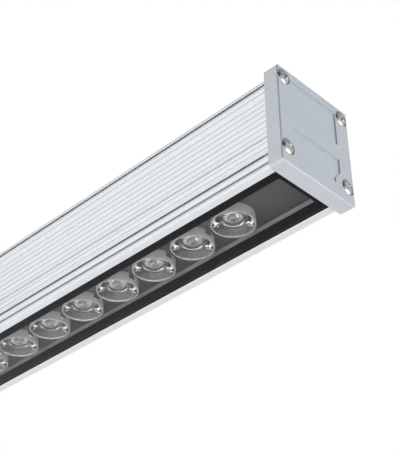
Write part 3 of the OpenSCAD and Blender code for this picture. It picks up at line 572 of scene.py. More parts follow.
def makeThreadTree():
    # a closed rod whose surface rises and falls along a helix
    tree, start, end = startGeometry("threadedRod", {
        "Radius": 3 * mm, "Length": 20 * mm, "Pitch": 1 * mm, "Depth": 0.3 * mm,
        "Segments": 24, "Steps": 6})
    turns = mathNode(tree, "CEIL", mathNode(tree, "DIVIDE", start["Length"], start["Pitch"]))
    rows = mathNode(tree, "ADD", product(tree, turns, start["Steps"]), 3.0)
    grid, column, row = openGrid(tree, start["Segments"], rows)
    # the second row and the last but one are the ends of the thread
    share = ramp(tree, row, 1.0, mathNode(tree, "SUBTRACT", rows, 2.0))
    height = product(tree, share, start["Length"])
    turn = mathNode(tree, "DIVIDE", column, start["Segments"])
    phase = mathNode(tree, "SUBTRACT", mathNode(tree, "DIVIDE", height, start["Pitch"]), turn)
    wave = mathNode(tree, "COSINE", product(tree, phase, fullTurn))
    dip = product(tree, start["Depth"], 0.5)
    groove = product(tree, mathNode(tree, "SUBTRACT", 1.0, wave), dip)
    # the first row and the last are the poles
    beyond = mathNode(tree, "GREATER_THAN", row, 0.5)
    before = mathNode(tree, "LESS_THAN", row, mathNode(tree, "SUBTRACT", rows, 1.5))
    inside = product(tree, beyond, before)
    radius = product(tree, mathNode(tree, "SUBTRACT", start["Radius"], groove), inside)
    shape = crispEdges(tree, wrapGrid(tree, grid, turn, radius, height), 50.0)
    return finishTree(tree, shape, start, end)


def makeHexTree():
    # the profile's turned shape, cut to a hexagon
    tree, start, end = startGeometry("hexPiece", {
        "Flats": 10 * mm, "Height": 4 * mm, "Segments": 48})
    prism = addNode(tree, "GeometryNodeMeshCylinder", {
        "Vertices": 6, "Radius": mathNode(tree, "DIVIDE", start["Flats"], math.sqrt(3)),
        "Depth": product(tree, start["Height"], 4.0)})
    shape = turnedShape(tree, start["Geometry"], start["Segments"])
    cut = addNode(tree, "GeometryNodeMeshBoolean", {
        "Mesh 2": [shape, prism]}, operation="INTERSECT", solver="EXACT")
    return finishTree(tree, crispEdges(tree, cut), start, end)


print("building the geometry trees")
turnedTree, rowTree, crossTree = makeTurnedTree(), makeRowTree(), makeCrossTree()
threadTree, hexTree = makeThreadTree(), makeHexTree()


def runTree(tree, base, name, **values):
    # keeps what a tree makes of a base object as a plain mesh, and drops the base
    modifier = base.modifiers.new("shape", "NODES")
    modifier.node_group = tree
    for item in tree.interface.items_tree:
        label = item.name.replace(" ", "")
        label = label[0].lower() + label[1:]
        if item.item_type == "SOCKET" and item.in_out == "INPUT" and label in values:
            modifier[item.identifier] = values[label]
    mesh = plainMesh(base)
    mesh.name = name
    dropObject(base)
    return addObject(name, mesh)


def turned(name, profile, material, segments=48):
    return runTree(
        turnedTree, profileObject(name + "Profile", profile), name, segments=segments,
        material=material)


def rowOf(name, piece, places, material, turn=(0, 0, 0), shift=(0, 0, 0), spin=0.0, seed=1):
    # without a material, the piece keeps its own
    base = dataObject(name + "Places", [Vector(place).to_3d() for place in places])
    made = runTree(
        rowTree, base, name, piece=piece, spin=spin, seed=seed, turn=turn, shift=shift,
        ownFinish=material is None, material=material or finishes["led"])
    dropObject(piece)
    return made


def joinedPiece(name, pieces):
    # one mesh of several, each with its own material
    made, materials = bmesh.new(), []
    for piece in pieces:
        first = len(made.faces)
        made.from_mesh(piece.data)
        made.faces.ensure_lookup_table()
        material = piece.data.materials[0]
        if material not in materials:
            materials.append(material)
        for face in made.faces[first:]:
            face.material_index = materials.index(material)
        dropObject(piece)
    return builtObject(name, made, materials)


def settle(piece, body, slotName, *nodes):
    # hands a finished piece to its body, in place of its CAD nodes
    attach(piece, body)
    if nodes:
        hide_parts(*nodes)
    return piece


def softened(node, name, width, segments=2, flatAngle=0.4, edgeAngle=30.0):
    # a copy of a CAD node with its edges rounded by a width in millimetres
    made = bmesh.new()
    made.from_mesh(cadNodes[node].data)
    bmesh.ops.remove_doubles(made, verts=made.verts, dist=mergeGap)
    bmesh.ops.dissolve_limit(
        made, angle_limit=math.radians(flatAngle), verts=made.verts, edges=made.edges)
    made.normal_update()
    piece = builtObject(name, made, [finishes[slotOf[node]]])
    bevel = piece.modifiers.new("edges", "BEVEL")
    bevel.limit_method = "ANGLE"
    bevel.angle_limit = math.radians(edgeAngle)
    bevel.width = width * mm
    bevel.segments = segments
    bevel.miter_outer = "MITER_ARC"
    bevel.use_clamp_overlap = True
    bevel.harden_normals = True
    sharp, piece.data = piece.data, plainMesh(piece)
    bpy.data.meshes.remove(sharp)
    piece.data.name = name
    return piece


# End caps: cast metal, so every edge is a little soft

capEdges = {"width": 0.3, "segments": 3}
print("casting the end caps")
for side in sides:
    cap = softened(f"end_cap_{side}", f"cast_cap_{side}", **capEdges)
    settle(cap, "fixture", "silver_paint", f"end_cap_{side}")


# Screws in the end caps

capScrew = {
    "headRadius": 3.75, "rim": 1.0, "edge": 0.18, "headTop": 2.4, "shankRadius": 1.6,
    "shankLength": 14.0, "tipShare": 0.5, "tipHeights": (1.2, 2.6), "wingLength": 4.9,
    "wingWidth": 1.5, "recessDepth": 1.9, "spin": 1.5, "seed": 5, "segments": 56,
    "crownSteps": 10,
}


def screwProfile(size):
    # a pan head on a shank, from the tip's axis round to the crown's axis
    radius, rim, high, soft = size["headRadius"], size["rim"], size["headTop"], size["edge"]
    rise = high - rim
    ball = (radius * radius + rise * rise) / (2 * rise)
    reach = math.degrees(math.asin(radius / ball))
    crown = arc((0, high - ball), ball, 90 - reach, 90, size["crownSteps"])
    shank, low = size["shankRadius"], -size["shankLength"]
    first, second = size["tipHeights"]
    return [
        (0, low), (shank * size["tipShare"], low + first), (shank, low + second), (shank, 0),
        (radius - soft, 0), (radius, soft), (radius, rim - soft), *crown[1:]]


def makeCapScrews(side):
    low, high = boxOf(f"cap_screws_{side}")
    way, out = (1, high.x) if side == "right" else (-1, low.x)
    radius = capScrew["headRadius"] * mm
    places = [
        (way * -z, y) for y in (low.y + radius, high.y - radius)
        for z in (low.z + radius, high.z - radius)]
    recess = {label: capScrew[label] * mm for label in (
        "headTop", "wingLength", "wingWidth", "recessDepth")}
    head = runTree(
        crossTree, profileObject("capScrewProfile", screwProfile(capScrew)), "capScrewHead",
        segments=capScrew["segments"], material=finishes["stainless_screw"], **recess)
    screws = rowOf(
        f"pan_screws_{side}", head, places, finishes["stainless_screw"],
        turn=(0, way * math.pi / 2, 0), shift=(out - way * recess["headTop"], 0, 0),
        spin=capScrew["spin"], seed=capScrew["seed"])
    settle(screws, "fixture", "stainless_screw", f"cap_screws_{side}")


print("turning the cap screws")
for side in sides:
    makeCapScrews(side)


# Lenses, holders and LEDs, drawn from the board towards the glass

lensLook = {
    "count": 18, "baseRadius": 7.6, "baseHeight": 0.4, "flangeLow": 4.65, "front": 4.9,
    "wallRadius": 9.45, "wallPower": 1.0, "flangeRadius": 9.6, "edge": 0.05,
    "dishRadius": 9.5, "dishFloorRadius": 5.1, "dishFloor": 2.0, "dishPower": 0.9,
    "domeRadius": 4.85, "domeTop": 4.1, "cavityRadius": 4.4, "cavityTop": 3.6,
    "flankSteps": 12, "domeSteps": 10, "segments": 56,
}
holderLook = {
    "radius": 10.25, "height": 5.0, "wall": 0.5, "ledge": 0.6, "ledgeHeight": 0.6,
    "edge": 0.1, "edgeArc": (20, 90, 4), "boreEdge": 0.05, "boreMargin": 0.02,
    "notchWidth": 3.6, "notchHeight": 2.8, "segments": 56,
}
ledLook = {
    "bodyRadius": 4.2, "bodyHeight": 1.3, "bodyEdge": 0.15, "cupRadius": 2.75, "cupDepth": 0.5,
    "cupEdge": 0.1, "cupTaper": 0.25, "domeRadius": 3.0, "domeHeight": 1.9, "domeLift": 0.02,
    "dieSize": 2.1, "dieHeight": 0.25, "dieEdge": 0.05, "leadWidth": 1.2, "leadReach": 5.9,
    "leadRoot": 0.5, "leadHeights": (0.02, 0.3), "leadEdge": 0.04, "domeSteps": 10,
    "segments": 40, "domeSegments": 32,
    # the corners of the cup's lining, from the cup's radius and floor
    "lining": ((-0.22, 0.01), (0.03, 0.42), (-0.06, 0.42), (-0.3, 0.07)),
}


def lensProfile(size):
    # a conical ring with an open dish in front and a thin clear dome over the LED
    low, top, front, edge = size["baseHeight"], size["flangeLow"], size["front"], size["edge"]
    reach, outer, floor = size["flangeRadius"], size["dishRadius"], size["dishFloor"]
    steps, rounds = size["flankSteps"], size["domeSteps"]
    roof = quarter(0, size["cavityRadius"], low, size["cavityTop"], rounds)[::-1]
    wall = flank((size["baseRadius"], low), (size["wallRadius"], top), size["wallPower"], steps)
    rim = [(reach, top), (reach, front - edge), (reach - edge, front), (outer, front)]
    dish = flank((size["dishFloorRadius"], floor), (outer, front), size["dishPower"], steps)
    dome = quarter(0, size["domeRadius"], floor, size["domeTop"], rounds)
    return [*roof, *wall, *rim, *dish[-2::-1], *dome]


def holderProfile(size):
    outer, high, edge = size["radius"], size["height"], size["edge"]
    bore, soft, step = outer - size["wall"], size["boreEdge"], size["ledgeHeight"]
    ledge = bore - size["ledge"]
    return [
        (ledge, 0), (outer - edge, 0), (outer, edge), (outer, high - edge),
        *arc((outer - edge, high - edge), edge, *size["edgeArc"]), (bore + soft, high),
        (bore, high - soft), (bore, step), (ledge, step), (ledge, 0)]


def cupFloor(size):
    return size["bodyHeight"] - size["cupDepth"]


def ledBodyProfile(size):
    # a round white body with a shallow cup under the dome
    radius, high, edge = size["bodyRadius"], size["bodyHeight"], size["bodyEdge"]
    cup, soft, floor = size["cupRadius"], size["cupEdge"], cupFloor(size)
    return [
        (0, 0), (radius, 0), (radius, high - edge), (radius - edge, high), (cup + soft, high),
        (cup, high - soft), (cup - size["cupTaper"], floor), (0, floor)]


def ledCupProfile(size):
    # the lining: a thin closed skin in the cup
    skin = [(size["cupRadius"] + x, cupFloor(size) + y) for x, y in size["lining"]]
    return [(0, skin[0][1]), *skin, (0, skin[-1][1])]


def ledDomeProfile(size):
    low, high = size["domeLift"], size["domeLift"] + size["domeHeight"]
    return [(0, low), *quarter(0, size["domeRadius"], low, high, size["domeSteps"])]


def makeNotches(name, base, size, across=False):
    # cuts the two notches, which face the neighbours unless they are turned across
    cutter = bmesh.new()
    turn = Matrix.Rotation(fullTurn / 4 if across else 0, 4, "Z")
    bmesh.ops.create_cube(cutter, size=1.0, matrix=turn @ Matrix.Diagonal(
        (4 * size["radius"] * mm, size["notchWidth"] * mm, 2 * size["notchHeight"] * mm, 1)))
    tool = builtObject("notch", cutter)
    cut = base.modifiers.new("notches", "BOOLEAN")
    cut.object = tool
    cut.solver = "EXACT"
    made = addObject(name, plainMesh(base))
    dropObject(base)
    dropObject(tool)
    return made


def paintBoreShade(holder, size):
    # painted shade: the wall round the lens takes a darker copy of the holder's plastic than the
    # skirt outside, standing in for the shade in the bore
    holder.data.materials.clear()
    holder.data.materials.append(finishes["lens_holder"])
    holder.data.materials.append(innerFinishes["holderBore"])
    bore = (size["radius"] - size["wall"] + size["boreMargin"]) * mm
    for face in holder.data.polygons:
        face.material_index = 1 if face.center.xy.length < bore else 0


def lensPlaces(side):
    low, high = boxOf(f"holder_row_{side}")
    radius = (high.y - low.y) / 2
    first, last = low.x + radius, high.x - radius
    count = lensLook["count"]
    return [(first + (last - first) * i / (count - 1), 0, 0) for i in range(count)], high.z


def blockPiece(name, low, high, material, edge):
    # a box with its edges broken
    low, high = Vector(low) * mm, Vector(high) * mm
    made = bmesh.new()
    bmesh.ops.create_cube(made, size=1.0, matrix=Matrix.Translation(
        (low + high) / 2) @ Matrix.Diagonal((*(high - low), 1)))
    bmesh.ops.bevel(made, geom=made.edges, offset=edge * mm, segments=1, affect="EDGES")
    return builtObject(name, made, [material])


def makeLedPiece(size):
    # the body with the die in its cup and a lead on either side
    body = turned("ledBody", ledBodyProfile(size), finishes["led"], size["segments"])
    lining = turned(
        "ledLining", ledCupProfile(size), innerFinishes["ledCup"], size["segments"])
    half, floor = size["dieSize"] / 2, cupFloor(size)
    die = blockPiece(
        "die", (-half, -half, floor), (half, half, floor + size["dieHeight"]),
        innerFinishes["ledDie"], size["dieEdge"])
    wide, (low, high) = size["leadWidth"] / 2, size["leadHeights"]
    leads = []
    for way in (-1, 1):
        near, far = sorted((way * (size["bodyRadius"] - size["leadRoot"]), way * size["leadReach"]))
        leads.append(blockPiece(
            "lead", (near, -wide, low), (far, wide, high), finishes["bolt_steel"],
            size["leadEdge"]))
    return joinedPiece("ledPiece", [body, lining, die, *leads])


def makeLensRow(side):
    places, boardZ = lensPlaces(side)
    facing = {"turn": (math.pi, 0, 0), "shift": (0, 0, boardZ)}
    clear, skirt = finishes["clear_lens"], finishes["lens_holder"]
    lens = turned("lens", lensProfile(lensLook), clear, lensLook["segments"])
    row = rowOf(f"collimators_{side}", lens, places, clear, **facing)
    settle(row, "fixture", "clear_lens", f"lens_row_{side}")
    # the holder at the end of the light is turned a quarter, as the photo shows
    last = len(places) - 1 if side == "right" else 0
    inner = [place for i, place in enumerate(places) if i != last]
    for name, group, across in (("holders", inner, False), ("end_holder", [places[last]], True)):
        ring = turned("holderRing", holderProfile(holderLook), skirt, holderLook["segments"])
        holder = makeNotches("holder", ring, holderLook, across)
        paintBoreShade(holder, holderLook)
        row = rowOf(f"{name}_{side}", holder, group, None, **facing)
        settle(row, "fixture", "lens_holder", f"holder_row_{side}")
    row = rowOf(f"led_bodies_{side}", makeLedPiece(ledLook), places, None, **facing)
    settle(row, "fixture", "led", f"led_row_{side}")
    silicone = innerFinishes["ledDome"]
    dome = turned("dome", ledDomeProfile(ledLook), silicone, ledLook["domeSegments"])
    raised = {"turn": (math.pi, 0, 0), "shift": (0, 0, boardZ - ledLook["bodyHeight"] * mm)}
    row = rowOf(f"led_domes_{side}", dome, places, silicone, **raised)
    settle(row, "fixture", "led", f"led_row_{side}")


print("moulding the lenses")
for side in sides:
    makeLensRow(side)


# Housing: the die's outline with a small radius in every corner, run out to its length

shellLook = {"radius": 0.3, "arcSteps": 4, "endGap": 0.01, "leastBend": 0.5}


def endOutlines(node):
    # the closed outlines of a node's +X end face, as lists of (y, z) in millimetres
    made = bmesh.new()
    made.from_mesh(cadNodes[node].data)
    bmesh.ops.remove_doubles(made, verts=made.verts, dist=mergeGap)
    end = max(vertex.co.x for vertex in made.verts)
    gap = shellLook["endGap"] * mm
    faces = [f for f in made.faces if all(end - v.co.x < gap for v in f.verts)]
    onEnd, ahead = set(faces), {}
    for face in faces:
        for loop in face.loops:
            if sum(other in onEnd for other in loop.edge.link_faces) == 1:
                ahead[loop.vert] = loop.link_loop_next.vert
    outlines, bend = [], math.radians(shellLook["leastBend"])
    while ahead:
        first, vertex = ahead.popitem()
        chain = [first]
        while vertex is not first:
            chain.append(vertex)
            vertex = ahead.pop(vertex)
        flat = [Vector((v.co.y / mm, v.co.z / mm)) for v in chain]
        kept = [
            p for i, p in enumerate(flat)
            if (p - flat[i - 1]).angle(flat[(i + 1) % len(flat)] - p) > bend]
        outlines.append(kept)
    made.free()
    return outlines


def makeExtrusionTree():
    # fillets closed outlines in XY, fills them and runs them out along X
    tree, start, end = startGeometry("extrudedOutline", {
        "Radius": 0.3, "Arc Steps": 3, "Length": 1000.0, "Start": -500.0, "Unit": mm})
    curve = addNode(tree, "GeometryNodeMeshToCurve", {"Mesh": start["Geometry"]})
    fillet = addNode(tree, "GeometryNodeFilletCurve", {
        "Curve": curve, "Radius": start["Radius"], "Count": start["Arc Steps"],
        "Limit Radius": True}, mode="POLY")
    face = addNode(tree, "GeometryNodeFillCurve", {"Curve": fillet}, mode="TRIANGLES")
    grown = addNode(tree, "GeometryNodeExtrudeMesh", {
        "Mesh": face, "Offset": vectorOf(tree, z=start["Length"]), "Offset Scale": 1.0,
        "Individual": False})
    back = addNode(tree, "GeometryNodeFlipFaces", {"Mesh": face})
    whole = addNode(tree, "GeometryNodeJoinGeometry", {"Geometry": [back, grown]})
    closed = addNode(tree, "GeometryNodeMergeByDistance", {
        "Geometry": whole, "Distance": mergeGap / mm})
    begin = product(tree, start["Start"], start["Unit"])
    laid = addNode(tree, "GeometryNodeTransform", {
        "Geometry": closed, "Translation": vectorOf(tree, begin),
        "Rotation": (fullTurn / 4, 0.0, fullTurn / 4),
        "Scale": vectorOf(tree, start["Unit"], start["Unit"], start["Unit"])})
    flat = addNode(tree, "GeometryNodeSetShadeSmooth", {
        "Geometry": laid, "Shade Smooth": False})
    return finishTree(tree, flat, start, end)


def makeHousing():
    points, edges = [], []
    for outline in endOutlines("housing"):
        first, count = len(points), len(outline)
        points += [(p.x, p.y, 0) for p in outline]
        edges += [(first + i, first + (i + 1) % count) for i in range(count)]
    low, high = boxOf("housing")
    shell = runTree(
        makeExtrusionTree(), dataObject("dieOutline", points, edges), "drawn_housing",
        radius=shellLook["radius"], arcSteps=shellLook["arcSteps"],
        length=(high.x - low.x) / mm, start=low.x / mm, unit=mm,
        material=finishes["anodised_housing"])
    settle(shell, "fixture", "anodised_housing", "housing")


print("drawing the housing")
makeHousing()


# Brackets: bent plate with its edges broken

plateEdges = {"width": 0.35, "segments": 2}
print("bending the brackets")
for side in sides:
    for part, body in (("carriage", "bracket"), ("foot", "wall_foot")):
        node = f"{part}_{side}"
        plate = softened(node, f"plate_{node}", **plateEdges)
        settle(plate, f"{body}_{side}", "bracket_steel", node)


# Bolts, nuts and washers of the brackets, drawn along Z with the seat of the head at zero

hardware = {
    "radius": 3.0, "pitch": 1.0, "threadDepth": 0.35, "threadSegments": 24, "threadSteps": 4,
    "flats": 10.0, "headHeight": 4.0, "chamferRadius": 4.9, "chamferHeight": 0.55,
    "faceRadius": 4.75, "faceHeight": 0.25, "washerRadius": 6.2, "washerBore": 3.3,
    "flatWasher": 1.2, "thinWasher": 0.5, "washerEdge": 0.12, "nutHeight": 6.0, "nutBore": 3.05,
    "collarRadius": 4.4, "collarHeight": 2.0, "collarEdge": 0.35, "nutLead": 0.4,
    "nutLip": (0.5, 0.1), "rodGap": 0.01, "lugGap": 0.3, "blockEdge": 0.4,
    "washerSegments": 40,
}


def hexCorner(size, margin=0.1):
    # a little past the corners, so that the hexagon cuts what is turned
    return size["flats"] / math.sqrt(3) + margin


def hexPiece(name, profile, flats, height, material, segments=48):
    return runTree(
        hexTree, profileObject(name + "Profile", profile), name, flats=flats * mm,
        height=height * mm, segments=segments, material=material)


def boltHeadProfile(size):
    # a round face under the head and a chamfer over it
    corner, high, face = hexCorner(size), size["headHeight"], size["faceHeight"]
    return [
        (0, 0), (size["faceRadius"], 0), (size["faceRadius"], face), (corner, face),
        (corner, high - size["chamferHeight"]), (size["chamferRadius"], high), (0, high)]


def nutProfile(size):
    # a locking nut from its collar's end to its seat
    corner, high, lead, lip = hexCorner(size), size["nutHeight"], size["nutLead"], size["nutLip"]
    bore, collar, shoulder = size["nutBore"], size["collarRadius"], size["collarHeight"]
    return [
        (bore, lead), (bore + lip[0], lip[1]), (collar - size["collarEdge"], 0),
        (collar, size["collarEdge"]), (collar, shoulder), (size["chamferRadius"], shoulder),
        (corner, shoulder + size["chamferHeight"]), (corner, high - size["faceHeight"]),
        (size["faceRadius"], high), (bore + lead, high), (bore, high - lead), (bore, lead)]


def washerProfile(size, high):
    inner, outer, edge = size["washerBore"], size["washerRadius"], size["washerEdge"]
    return [
        (inner, edge), (inner + edge, 0), (outer - edge, 0), (outer, edge), (outer, high - edge),
        (outer - edge, high), (inner + edge, high), (inner, high - edge), (inner, edge)]


def makeBolt(size, length):
    steel = finishes["bolt_steel"]
    head = hexPiece("boltHead", boltHeadProfile(size), size["flats"], size["headHeight"], steel)
    rod = runTree(
        threadTree, dataObject("rodBase", [(0, 0, 0)]), "boltThread",
        radius=size["radius"] * mm, length=length, pitch=size["pitch"] * mm,
        depth=size["threadDepth"] * mm, segments=size["threadSegments"],
        steps=size["threadSteps"], material=steel)
    rod.data.transform(Matrix.Translation((0, 0, size["rodGap"] * mm - length)))
    return joinedPiece("bolt", [head, rod])


def flatWasher(thickness):
    return turned(
        "washer", washerProfile(hardware, thickness), finishes["bolt_steel"],
        hardware["washerSegments"])


def placeSteel(name, piece, node, side, shift, places=((0, 0, 0),), **facing):
    row = rowOf(
        f"{name}_{side}", piece, places, finishes["bolt_steel"], shift=shift, **facing)
    settle(row, f"bracket_{side}", "bolt_steel", f"{node}_{side}")


def makeHardware(side):
    way = 1 if side == "right" else -1
    washerHeight = hardware["flatWasher"] * mm
    # the clamp bolt stands on the bracket's web, over the slot nut
    low, high = boxOf(f"clamp_bolt_{side}")
    middle = (low.x + high.x) / 2
    seatZ = high.z - hardware["headHeight"] * mm
    bolt = makeBolt(hardware, seatZ - low.z)
    placeSteel("clamp_hex_bolt", bolt, "clamp_bolt", side, (middle, 0, seatZ))
    washer = flatWasher(hardware["flatWasher"])
    placeSteel("clamp_washer", washer, "clamp_bolt", side, (middle, 0, seatZ - washerHeight))
    # the hinge bolt runs along X
    low, high = boxOf(f"pivot_bolt_{side}")
    out, tip = (high.x, low.x) if way > 0 else (low.x, high.x)
    seatX, axisZ = out - way * hardware["headHeight"] * mm, (low.z + high.z) / 2
    lying = {"turn": (0, way * math.pi / 2, 0)}
    bolt = makeBolt(hardware, abs(seatX - tip))
    placeSteel("hinge_bolt", bolt, "pivot_bolt", side, (seatX, 0, axisZ), **lying)
    low, high = boxOf(f"pivot_nut_{side}")
    nut = hexPiece(
        "nut", nutProfile(hardware), hardware["flats"], hardware["nutHeight"],
        finishes["bolt_steel"])
    nutX = low.x if way > 0 else high.x
    placeSteel("locking_nut", nut, "pivot_nut", side, (nutX, 0, axisZ), **lying)
    # two flat washers outside the bracket's legs, two thin ones beside the foot's lugs
    low, high = boxOf(f"foot_{side}")
    lugs = (high.x - low.x) / 2 + hardware["lugGap"] * mm
    for name, thickness, inner in (
            ("flat", hardware["flatWasher"], abs(seatX - middle) - washerHeight),
            ("thin", hardware["thinWasher"], lugs)):
        places = [(0, 0, inner), (0, 0, -inner - thickness * mm)]
        placeSteel(
            f"{name}_washers", flatWasher(thickness), "pivot_washers", side,
            (middle, 0, axisZ), places, **lying)
    node = f"slot_nut_{side}"
    block = softened(node, f"slot_block_{side}", hardware["blockEdge"])
    settle(block, f"bracket_{side}", slotOf[node], node)


print("cutting the bolts and nuts")
for side in sides:
    makeHardware(side)


# Cable gland, drawn along Z from the face of the cap outwards

gland = {
    "washerRadius": 8.2, "washerHeight": 1.2, "innerRadius": 6.0, "innerLength": 9.0,
    "outerRadius": 6.6, "outerTop": 12.2, "bore": 4.4, "flats": 17.0, "flangeTop": 5.2,
    "pitch": 1.5, "threadDepth": 0.55, "nutLow": 5.6, "nutTop": 13.6, "crownTop": 16.8,
    "crownRadius": 5.2, "crownStep": 0.15, "crownSteps": 8, "mouth": 0.2, "lip": 0.5,
    "opening": 3.6, "shoulder": 12.8, "slack": 0.12, "cableRadius": 3.3,
    "sleeveEdges": (0.3, 0.2, 0.4), "sealGap": 0.1, "sealEdge": 0.25, "chamfer": 0.6,
    "chamferRadius": 8.45, "prismHeight": 10.0,
}


def threadPoints(radius, low, high, size):
    # the outline of a thread: crests and roots in turn, from low to high
    count = int((high - low) / size["pitch"] * 2)
    step = (high - low) / count
    return [
        (radius - (size["threadDepth"] if i % 2 else 0), low + step * i)
        for i in range(count + 1)]


def glandBodyProfile(size):
    corner, chamfer, cone = hexCorner(size), size["chamfer"], size["chamferRadius"]
    low, high, bore = size["washerHeight"], size["flangeTop"], size["bore"]
    inner, top, back = size["innerRadius"], size["outerTop"], -size["innerLength"]
    return [
        (bore, back), *threadPoints(inner, back, 0, size), (inner, low), (cone, low),
        (corner, low + chamfer), (corner, high - chamfer), (cone, high),
        *threadPoints(size["outerRadius"], high, top, size), (bore, top), (bore, back)]


def glandNutProfile(size):
    corner, chamfer, cone = hexCorner(size), size["chamfer"], size["chamferRadius"]
    low, top, tip = size["nutLow"], size["nutTop"], size["crownTop"]
    bore, mouth, lip = size["outerRadius"] + size["slack"], size["mouth"], size["lip"]
    wide, steps = cone - size["crownStep"], size["crownSteps"]
    crown = quarter(size["crownRadius"], wide, top, tip, steps)
    opening, shoulder = size["opening"], size["shoulder"]
    return [
        (bore, low + mouth), (bore + mouth, low), (cone, low), (corner, low + chamfer),
        (corner, top - chamfer), (cone, top), *crown, (opening + lip, tip),
        (opening, tip - lip), (opening, shoulder), (bore, shoulder), (bore, low + mouth)]


def glandInsertProfile(size):
    inner, outer, low = size["cableRadius"], size["bore"] - size["slack"], size["flangeTop"]
    collar, high, top = size["outerRadius"], size["outerTop"], size["shoulder"]
    foot, edge, mouth = size["sleeveEdges"]
    return [
        (inner, low + foot), (inner + foot, low), (outer, low), (outer, high), (collar, high),
        (collar, top - edge), (collar - edge, top), (inner + mouth, top), (inner, top - mouth),
        (inner, low + foot)]


def glandWasherProfile(size):
    inner, edge = size["innerRadius"] + size["sealGap"], size["sealEdge"]
    outer, high = size["washerRadius"], size["washerHeight"]
    return [
        (inner, 0), (outer - edge, 0), (outer, edge), (outer, high - edge), (outer - edge, high),
        (inner, high), (inner, 0)]


def makeGland():
    low, high = boxOf("gland_washer")
    facing = {"turn": (0, -math.pi / 2, 0), "shift": (high.x, 0, (low.z + high.z) / 2)}
    for name, profile, node in (
            ("threaded_gland_body", glandBodyProfile, "gland_body"),
            ("gland_cap_nut", glandNutProfile, "gland_nut"),
            ("gland_sleeve", glandInsertProfile, "gland_insert"),
            ("gland_seal", glandWasherProfile, "gland_washer")):
        finish = finishes[slotOf[node]]
        if node in ("gland_body", "gland_nut"):
            piece = hexPiece(node, profile(gland), gland["flats"], gland["prismHeight"], finish)
        else:
            piece = turned(node, profile(gland), finish)
        placed = rowOf(name, piece, [(0, 0, 0)], finish, **facing)
        settle(placed, "fixture", slotOf[node], node)


print("moulding the gland")
makeGland()


# Glass with ground edges

glassEdges = {"width": 0.1, "segments": 2}
print("grinding the glass")
pane = softened("cover_glass", "glass_pane", **glassEdges)
settle(pane, "fixture", "cover_glass", "cover_glass")


# Studio

studio = {
    "azimuth": 44.29, "elevation": -35.723, "roll": -0.48, "lens": 90.11,
    "camera": (0.7242, -0.3023, -0.3403), "floorZ": -0.47, "floorSize": 40.0,
    "low": (0.62, 0.635, 0.65), "high": (0.27, 0.31, 0.36), "highest": 0.85,
    "cornerAim": (0.60, -0.62, 0.50), "cornerReach": (0.70, 0.93),
    "corner": (0.05, 0.047, 0.045), "floorColour": (0.86, 0.86, 0.855), "floorGlow": 0.3,
    "nearEnd": (0.42, 0.0, -0.02),
}
softBoxes = {
    # place, size, brightness, colour, and whether it faces straight up and whether mirrors see it
    "sideBox": ((-0.62, -1.45, 1.22), (2.6, 1.7), 0.73, (1.0, 1.0, 1.0), False, True),
    "endBox": ((1.55, 1.15, 1.2), (1.3, 1.3), 0.62, (0.96, 0.985, 1.0), False, True),
    "lowBox": ((-0.2, -0.62, -0.42), (2.6, 0.4), 0.85, (1.0, 1.0, 1.0), True, True),
    "endLowBox": ((1.25, 0.35, -0.32), (0.9, 0.45), 1.9, (1.0, 0.985, 0.96), False, True),
    "underBox": ((-0.25, -0.12, -0.455), (2.6, 0.34), 1.68, (1.0, 0.98, 0.955), True, False),
}
# the flag is a dark card that only mirrors see
flag = {
    "x": (-0.46, 0.30), "y": (0.345, 0.53), "lift": 0.004, "colour": (0.98, 0.96, 0.97),
    "shades": (0.95, 0.40), "fade": 0.1,
}


def addCamera():
    around, up = math.radians(studio["azimuth"]), math.radians(studio["elevation"])
    back = Vector((
        math.sin(around) * math.cos(up), -math.cos(around) * math.cos(up), math.sin(up)))
    camera = addObject("camera", bpy.data.cameras.new("camera"))
    camera.data.lens = studio["lens"]
    camera.data.sensor_width = 36.0
    camera.data.clip_start = 0.01
    camera.data.clip_end = 100.0
    camera.rotation_mode = "QUATERNION"
    roll = Quaternion((0, 0, 1), math.radians(studio["roll"]))
    camera.rotation_quaternion = (-back).to_track_quat("-Z", "Y") @ roll
    camera.location = studio["camera"]
    bpy.context.scene.camera = camera


def addSoftBox(name, place, size, brightness, colour, upward, mirrored):
    light = bpy.data.lights.new(name, "AREA")
    light.shape = "RECTANGLE"
    light.size, light.size_y = size
    light.energy = brightness * math.pi * size[0] * size[1]
    light.color = colour
    box = addObject(name, light)
    box.location = place
    box.rotation_mode = "QUATERNION"
    # the boxes just over the floor face straight up, so that they leave no patch on it, and
    # the others face the near end of the light
    x, y, z = studio["nearEnd"]
    aim = Vector((0, 0, 1)) if upward else Vector((min(x, place[0]), y, z)) - Vector(place)
    box.rotation_quaternion = aim.to_track_quat("-Z", "Y")
    box.visible_camera = False
    box.visible_glossy = mirrored


def flatSheet(name, x, y, z):
    corners = [(x[0], y[0], z), (x[1], y[0], z), (x[1], y[1], z), (x[0], y[1], z)]
    return dataObject(name, corners, [], [(0, 1, 2, 3)])


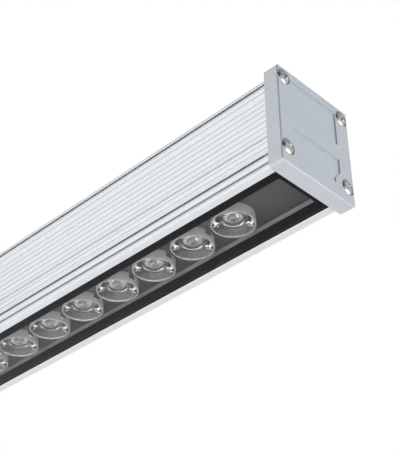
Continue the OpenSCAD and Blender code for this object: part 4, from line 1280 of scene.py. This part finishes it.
def addWorld():
    # white for the camera; what lights and mirrors is a grey room with one dark corner
    world = bpy.data.worlds.new("studio")
    bpy.context.scene.world = world
    world.use_nodes = True
    tree = world.node_tree
    seen = tree.nodes["Background"]
    seen.inputs["Color"].default_value = (1, 1, 1, 1)
    direction = addNode(tree, "ShaderNodeTexCoord", {}, "Generated")
    rise = ramp(tree, partsOf(tree, direction)["Z"], 0.0, studio["highest"])
    blend = addNode(tree, "ShaderNodeMix", {
        0: rise, 6: (*studio["low"], 1), 7: (*studio["high"], 1)}, 2, data_type="RGBA")
    facing = addNode(tree, "ShaderNodeVectorMath", {
        0: direction, 1: Vector(studio["cornerAim"]).normalized()}, "Value",
        operation="DOT_PRODUCT")
    near = ramp(tree, facing, *studio["cornerReach"], interpolation_type="SMOOTHSTEP")
    walls = addNode(tree, "ShaderNodeMix", {
        0: near, 6: blend, 7: (*studio["corner"], 1)}, 2, data_type="RGBA")
    room = addNode(tree, "ShaderNodeBackground", {"Color": walls})
    straight = addNode(tree, "ShaderNodeLightPath", {}, "Is Camera Ray")
    mix = addNode(tree, "ShaderNodeMixShader", {
        0: straight, 1: room, 2: seen.outputs["Background"]})
    tree.links.new(mix, tree.nodes["World Output"].inputs["Surface"])


def addFloor():
    half = studio["floorSize"] / 2
    floor = flatSheet("floor", (-half, half), (-half, half), studio["floorZ"])
    material, tree, shader, vector = startMaterial(
        "paleFloor", Roughness=0.7, Emission_Color=(1.0, 0.99, 0.975),
        Emission_Strength=studio["floorGlow"])
    shade = grainOf(tree, vector, 3.0, 0.985, 1.0)
    wireShader(tree, shader, Base_Color=tinted(tree, studio["floorColour"], shade))
    floor.data.materials.append(material)


def addFlag():
    card = flatSheet("flag", flag["x"], flag["y"], studio["floorZ"] + flag["lift"])
    material, tree, shader, vector = startMaterial("flagCloth", Roughness=1.0)
    shade = ramp(
        tree, partsOf(tree, vector)["X"], flag["x"][0], flag["x"][1] - flag["fade"],
        *flag["shades"])
    wireShader(tree, shader, Base_Color=tinted(tree, flag["colour"], shade))
    card.data.materials.append(material)
    card.visible_camera = False
    card.visible_diffuse = False
    card.visible_shadow = False


print("setting up the studio")
bpy.context.scene.view_settings.view_transform = "Standard"
addCamera()
addWorld()
for boxName, box in softBoxes.items():
    addSoftBox(boxName, *box)
addFloor()
addFlag()
